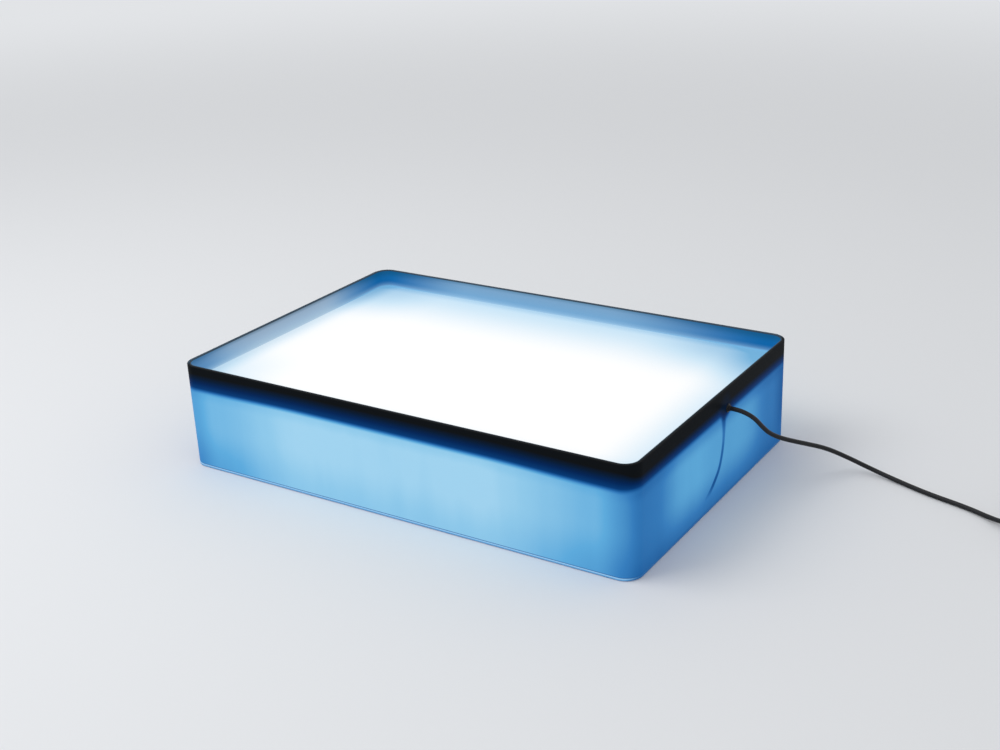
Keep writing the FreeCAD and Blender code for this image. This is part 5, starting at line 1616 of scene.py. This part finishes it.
class LIGHTBOX_OT_strap(bpy.types.Operator):
    """Make the hook and loop strap round the coil"""

    bl_idname = "lightbox.strap"
    bl_label = "Coil Strap"

    def execute(self, context):
        lead = settings().lead
        low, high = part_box("coil_tie")
        thick, inset, middle = lead.strap_thickness, lead.strap_inset, (low + high) / 2
        half_y, half_z = (high.y - low.y - thick) / 2, (high.z - low.z - thick) / 2
        steps, thin = 8, thick * 0.9
        path = outline(half_y, half_z, lead.strap_corner, steps, (middle.y, middle.z))
        band = self.band(path, low.x, high.x, thick, closed=True)
        start = steps // 2 + 1
        over_the_top = [(y, min(z, high.z - thin / 2)) for y, z in path[start:start + steps + 1]]
        tongue = self.band(over_the_top, low.x + inset, high.x - inset, thin, closed=False)
        settle(join("lead_strap", band, tongue), "housing", "tie", "coil_tie")
        return {"FINISHED"}

    def band(self, path, low, high, thick, closed):
        """A flat band that follows a path of Y and Z."""
        edge, last = settings().lead.strap_edge, len(path) - 1
        path = [Vector(point) for point in path]
        rows = []
        for k, here in enumerate(path):
            before = path[k - 1] if closed or k else here
            after = path[0] if closed and k == last else path[min(k + 1, last)]
            way = (after - before).normalized()
            side = Vector((way.y, -way.x)) * thick / 2
            outer, inner, lip = here + side, here - side, here + side * 0.4
            rows.append(
                [
                    (low, *inner), (high, *inner), (high, *lip), (high - edge, *outer), (low + edge, *outer),
                    (low, *lip),
                ]
            )
        return loft("band", rows, "hook_and_loop", closed)


# The finish of the pieces that stay as they were constructed
CARRIED = {
    "entry_black": ["gland_nut"],
    "opal_surface": ["light_panel"],
    "reflector_film": ["reflector_sheet"],
    "strip_board": [f"lamp_strip_{row}" for row in LAMP_ROWS],
    "link_wire": ["strip_link_wires", "driver_output_wire"],
    "driver_white": ["driver_case", "driver_lid"],
    "zinc_plating": ["driver_screws"],
    "driver_circuit": ["driver_board", "adaptor_board"],
    "inner_sheath": ["inner_lead"],
    "turned_steel": ["rocker_axle"],
    "brass": ["switch_contacts"],
    "copper_winding": ["adaptor_transformer"],
}


class LIGHTBOX_OT_finish(bpy.types.Operator):
    """Give every piece that stays as constructed its finish"""

    bl_idname = "lightbox.finish"
    bl_label = "Finishes"

    def execute(self, context):
        for material, nodes in CARRIED.items():
            for node in nodes:
                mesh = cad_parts[node].data
                mesh.materials.clear()
                mesh.materials.append(finish(material))
        return {"FINISHED"}


class LIGHTBOX_OT_studio(bpy.types.Operator):
    """Set up the pale floor and the soft light"""

    bl_idname = "lightbox.studio"
    bl_label = "Studio"

    def execute(self, context):
        studio = settings().studio
        self.floor(studio)
        self.world(studio)
        lamp = bpy.data.lights.new("soft_lamp", "AREA")
        lamp.shape = "SQUARE"
        lamp.size = studio.lamp_side
        lamp.energy = studio.lamp_power
        piece = link(bpy.data.objects.new("soft_lamp", lamp))
        piece.location = studio.lamp_place
        piece.rotation_mode = "QUATERNION"
        piece.rotation_quaternion = piece.location.to_track_quat("Z", "Y")
        context.scene.view_settings.view_transform = "Standard"
        return {"FINISHED"}

    def floor(self, studio):
        """A floor that turns into the backdrop in the distance."""
        paint = Paint("studio_floor", roughness=0.7, specular=0.1)
        paint.coat_with(studio.floor)
        away = paint.length(paint.x, paint.y)
        far = paint.rise(away, studio.floor_fades / MM, studio.floor_ends / MM)
        backdrop = paint.node("ShaderNodeEmission")
        backdrop.inputs["Color"].default_value = (*studio.sky, 1)
        self.blend(paint.tree, paint.shader, backdrop, paint.output, far.socket)
        reach = studio.floor_size / 2
        corners = [(-reach, -reach, 0), (reach, -reach, 0), (reach, reach, 0), (-reach, reach, 0)]
        mesh = bpy.data.meshes.new("floor")
        mesh.from_pydata(corners, [], [(0, 1, 2, 3)])
        mesh.materials.append(paint.material)
        link(bpy.data.objects.new("floor", mesh))

    def world(self, studio):
        """Even light from all round, in front of a pale backdrop."""
        world = bpy.data.worlds.new("studio")
        world.use_nodes = True
        nodes = world.node_tree.nodes
        nodes.clear()
        even, seen = nodes.new("ShaderNodeBackground"), nodes.new("ShaderNodeBackground")
        even.inputs["Color"].default_value = (1, 1, 1, 1)
        even.inputs["Strength"].default_value = studio.sky_strength
        seen.inputs["Color"].default_value = (*studio.sky, 1)
        self.blend(world.node_tree, even, seen, nodes.new("ShaderNodeOutputWorld"))
        bpy.context.scene.world = world

    def blend(self, tree, plain, backdrop, output, factor=None):
        """Shows the backdrop instead of the plain shader where the camera looks, also by gloss or glass."""
        path = tree.nodes.new("ShaderNodeLightPath")
        looks = path.outputs["Is Camera Ray"]
        steps = [("MAXIMUM", path.outputs[f"Is {kind} Ray"]) for kind in ("Glossy", "Transmission")]
        if factor is not None:
            steps.append(("MULTIPLY", factor))
        for operation, socket in steps:
            sum_node = tree.nodes.new("ShaderNodeMath")
            sum_node.operation = operation
            tree.links.new(looks, sum_node.inputs[0])
            tree.links.new(socket, sum_node.inputs[1])
            looks = sum_node.outputs[0]
        mix = tree.nodes.new("ShaderNodeMixShader")
        tree.links.new(looks, mix.inputs[0])
        tree.links.new(plain.outputs[0], mix.inputs[1])
        tree.links.new(backdrop.outputs[0], mix.inputs[2])
        tree.links.new(mix.outputs[0], output.inputs["Surface"])


STEPS = (
    LIGHTBOX_OT_camera,
    LIGHTBOX_OT_cable_entry,
    LIGHTBOX_OT_switch,
    LIGHTBOX_OT_adaptor,
    LIGHTBOX_OT_strap,
    LIGHTBOX_OT_supply_lead,
    LIGHTBOX_OT_base,
    LIGHTBOX_OT_tub,
    LIGHTBOX_OT_rim,
    LIGHTBOX_OT_tray,
    LIGHTBOX_OT_lamps,
    LIGHTBOX_OT_finish,
    LIGHTBOX_OT_studio,
)


class LIGHTBOX_PT_panel(bpy.types.Panel):
    """Lists the steps that make the light box"""

    bl_label = "Light Box"
    bl_idname = "LIGHTBOX_PT_panel"
    bl_space_type = "VIEW_3D"
    bl_region_type = "UI"
    bl_category = "Light Box"

    def draw(self, context):
        for step in STEPS:
            self.layout.operator(step.bl_idname)


CLASSES = (
    BoxSizes, GlowColours, EntrySizes, ScrewSizes, SwitchSizes, AdaptorSizes, LeadSizes, CameraSettings,
    StudioSettings, LightBoxSettings, *STEPS, LIGHTBOX_PT_panel,
)


def register():
    for item in CLASSES:
        bpy.utils.register_class(item)
    bpy.types.Scene.light_box = bpy.props.PointerProperty(type=LightBoxSettings)


def unregister():
    del bpy.types.Scene.light_box
    for item in reversed(CLASSES):
        bpy.utils.unregister_class(item)


def main():
    """Makes everything in order."""
    register()
    for step in STEPS:
        area, name = step.bl_idname.split(".")
        getattr(getattr(bpy.ops, area), name)()


if __name__ == "__main__":
    main()
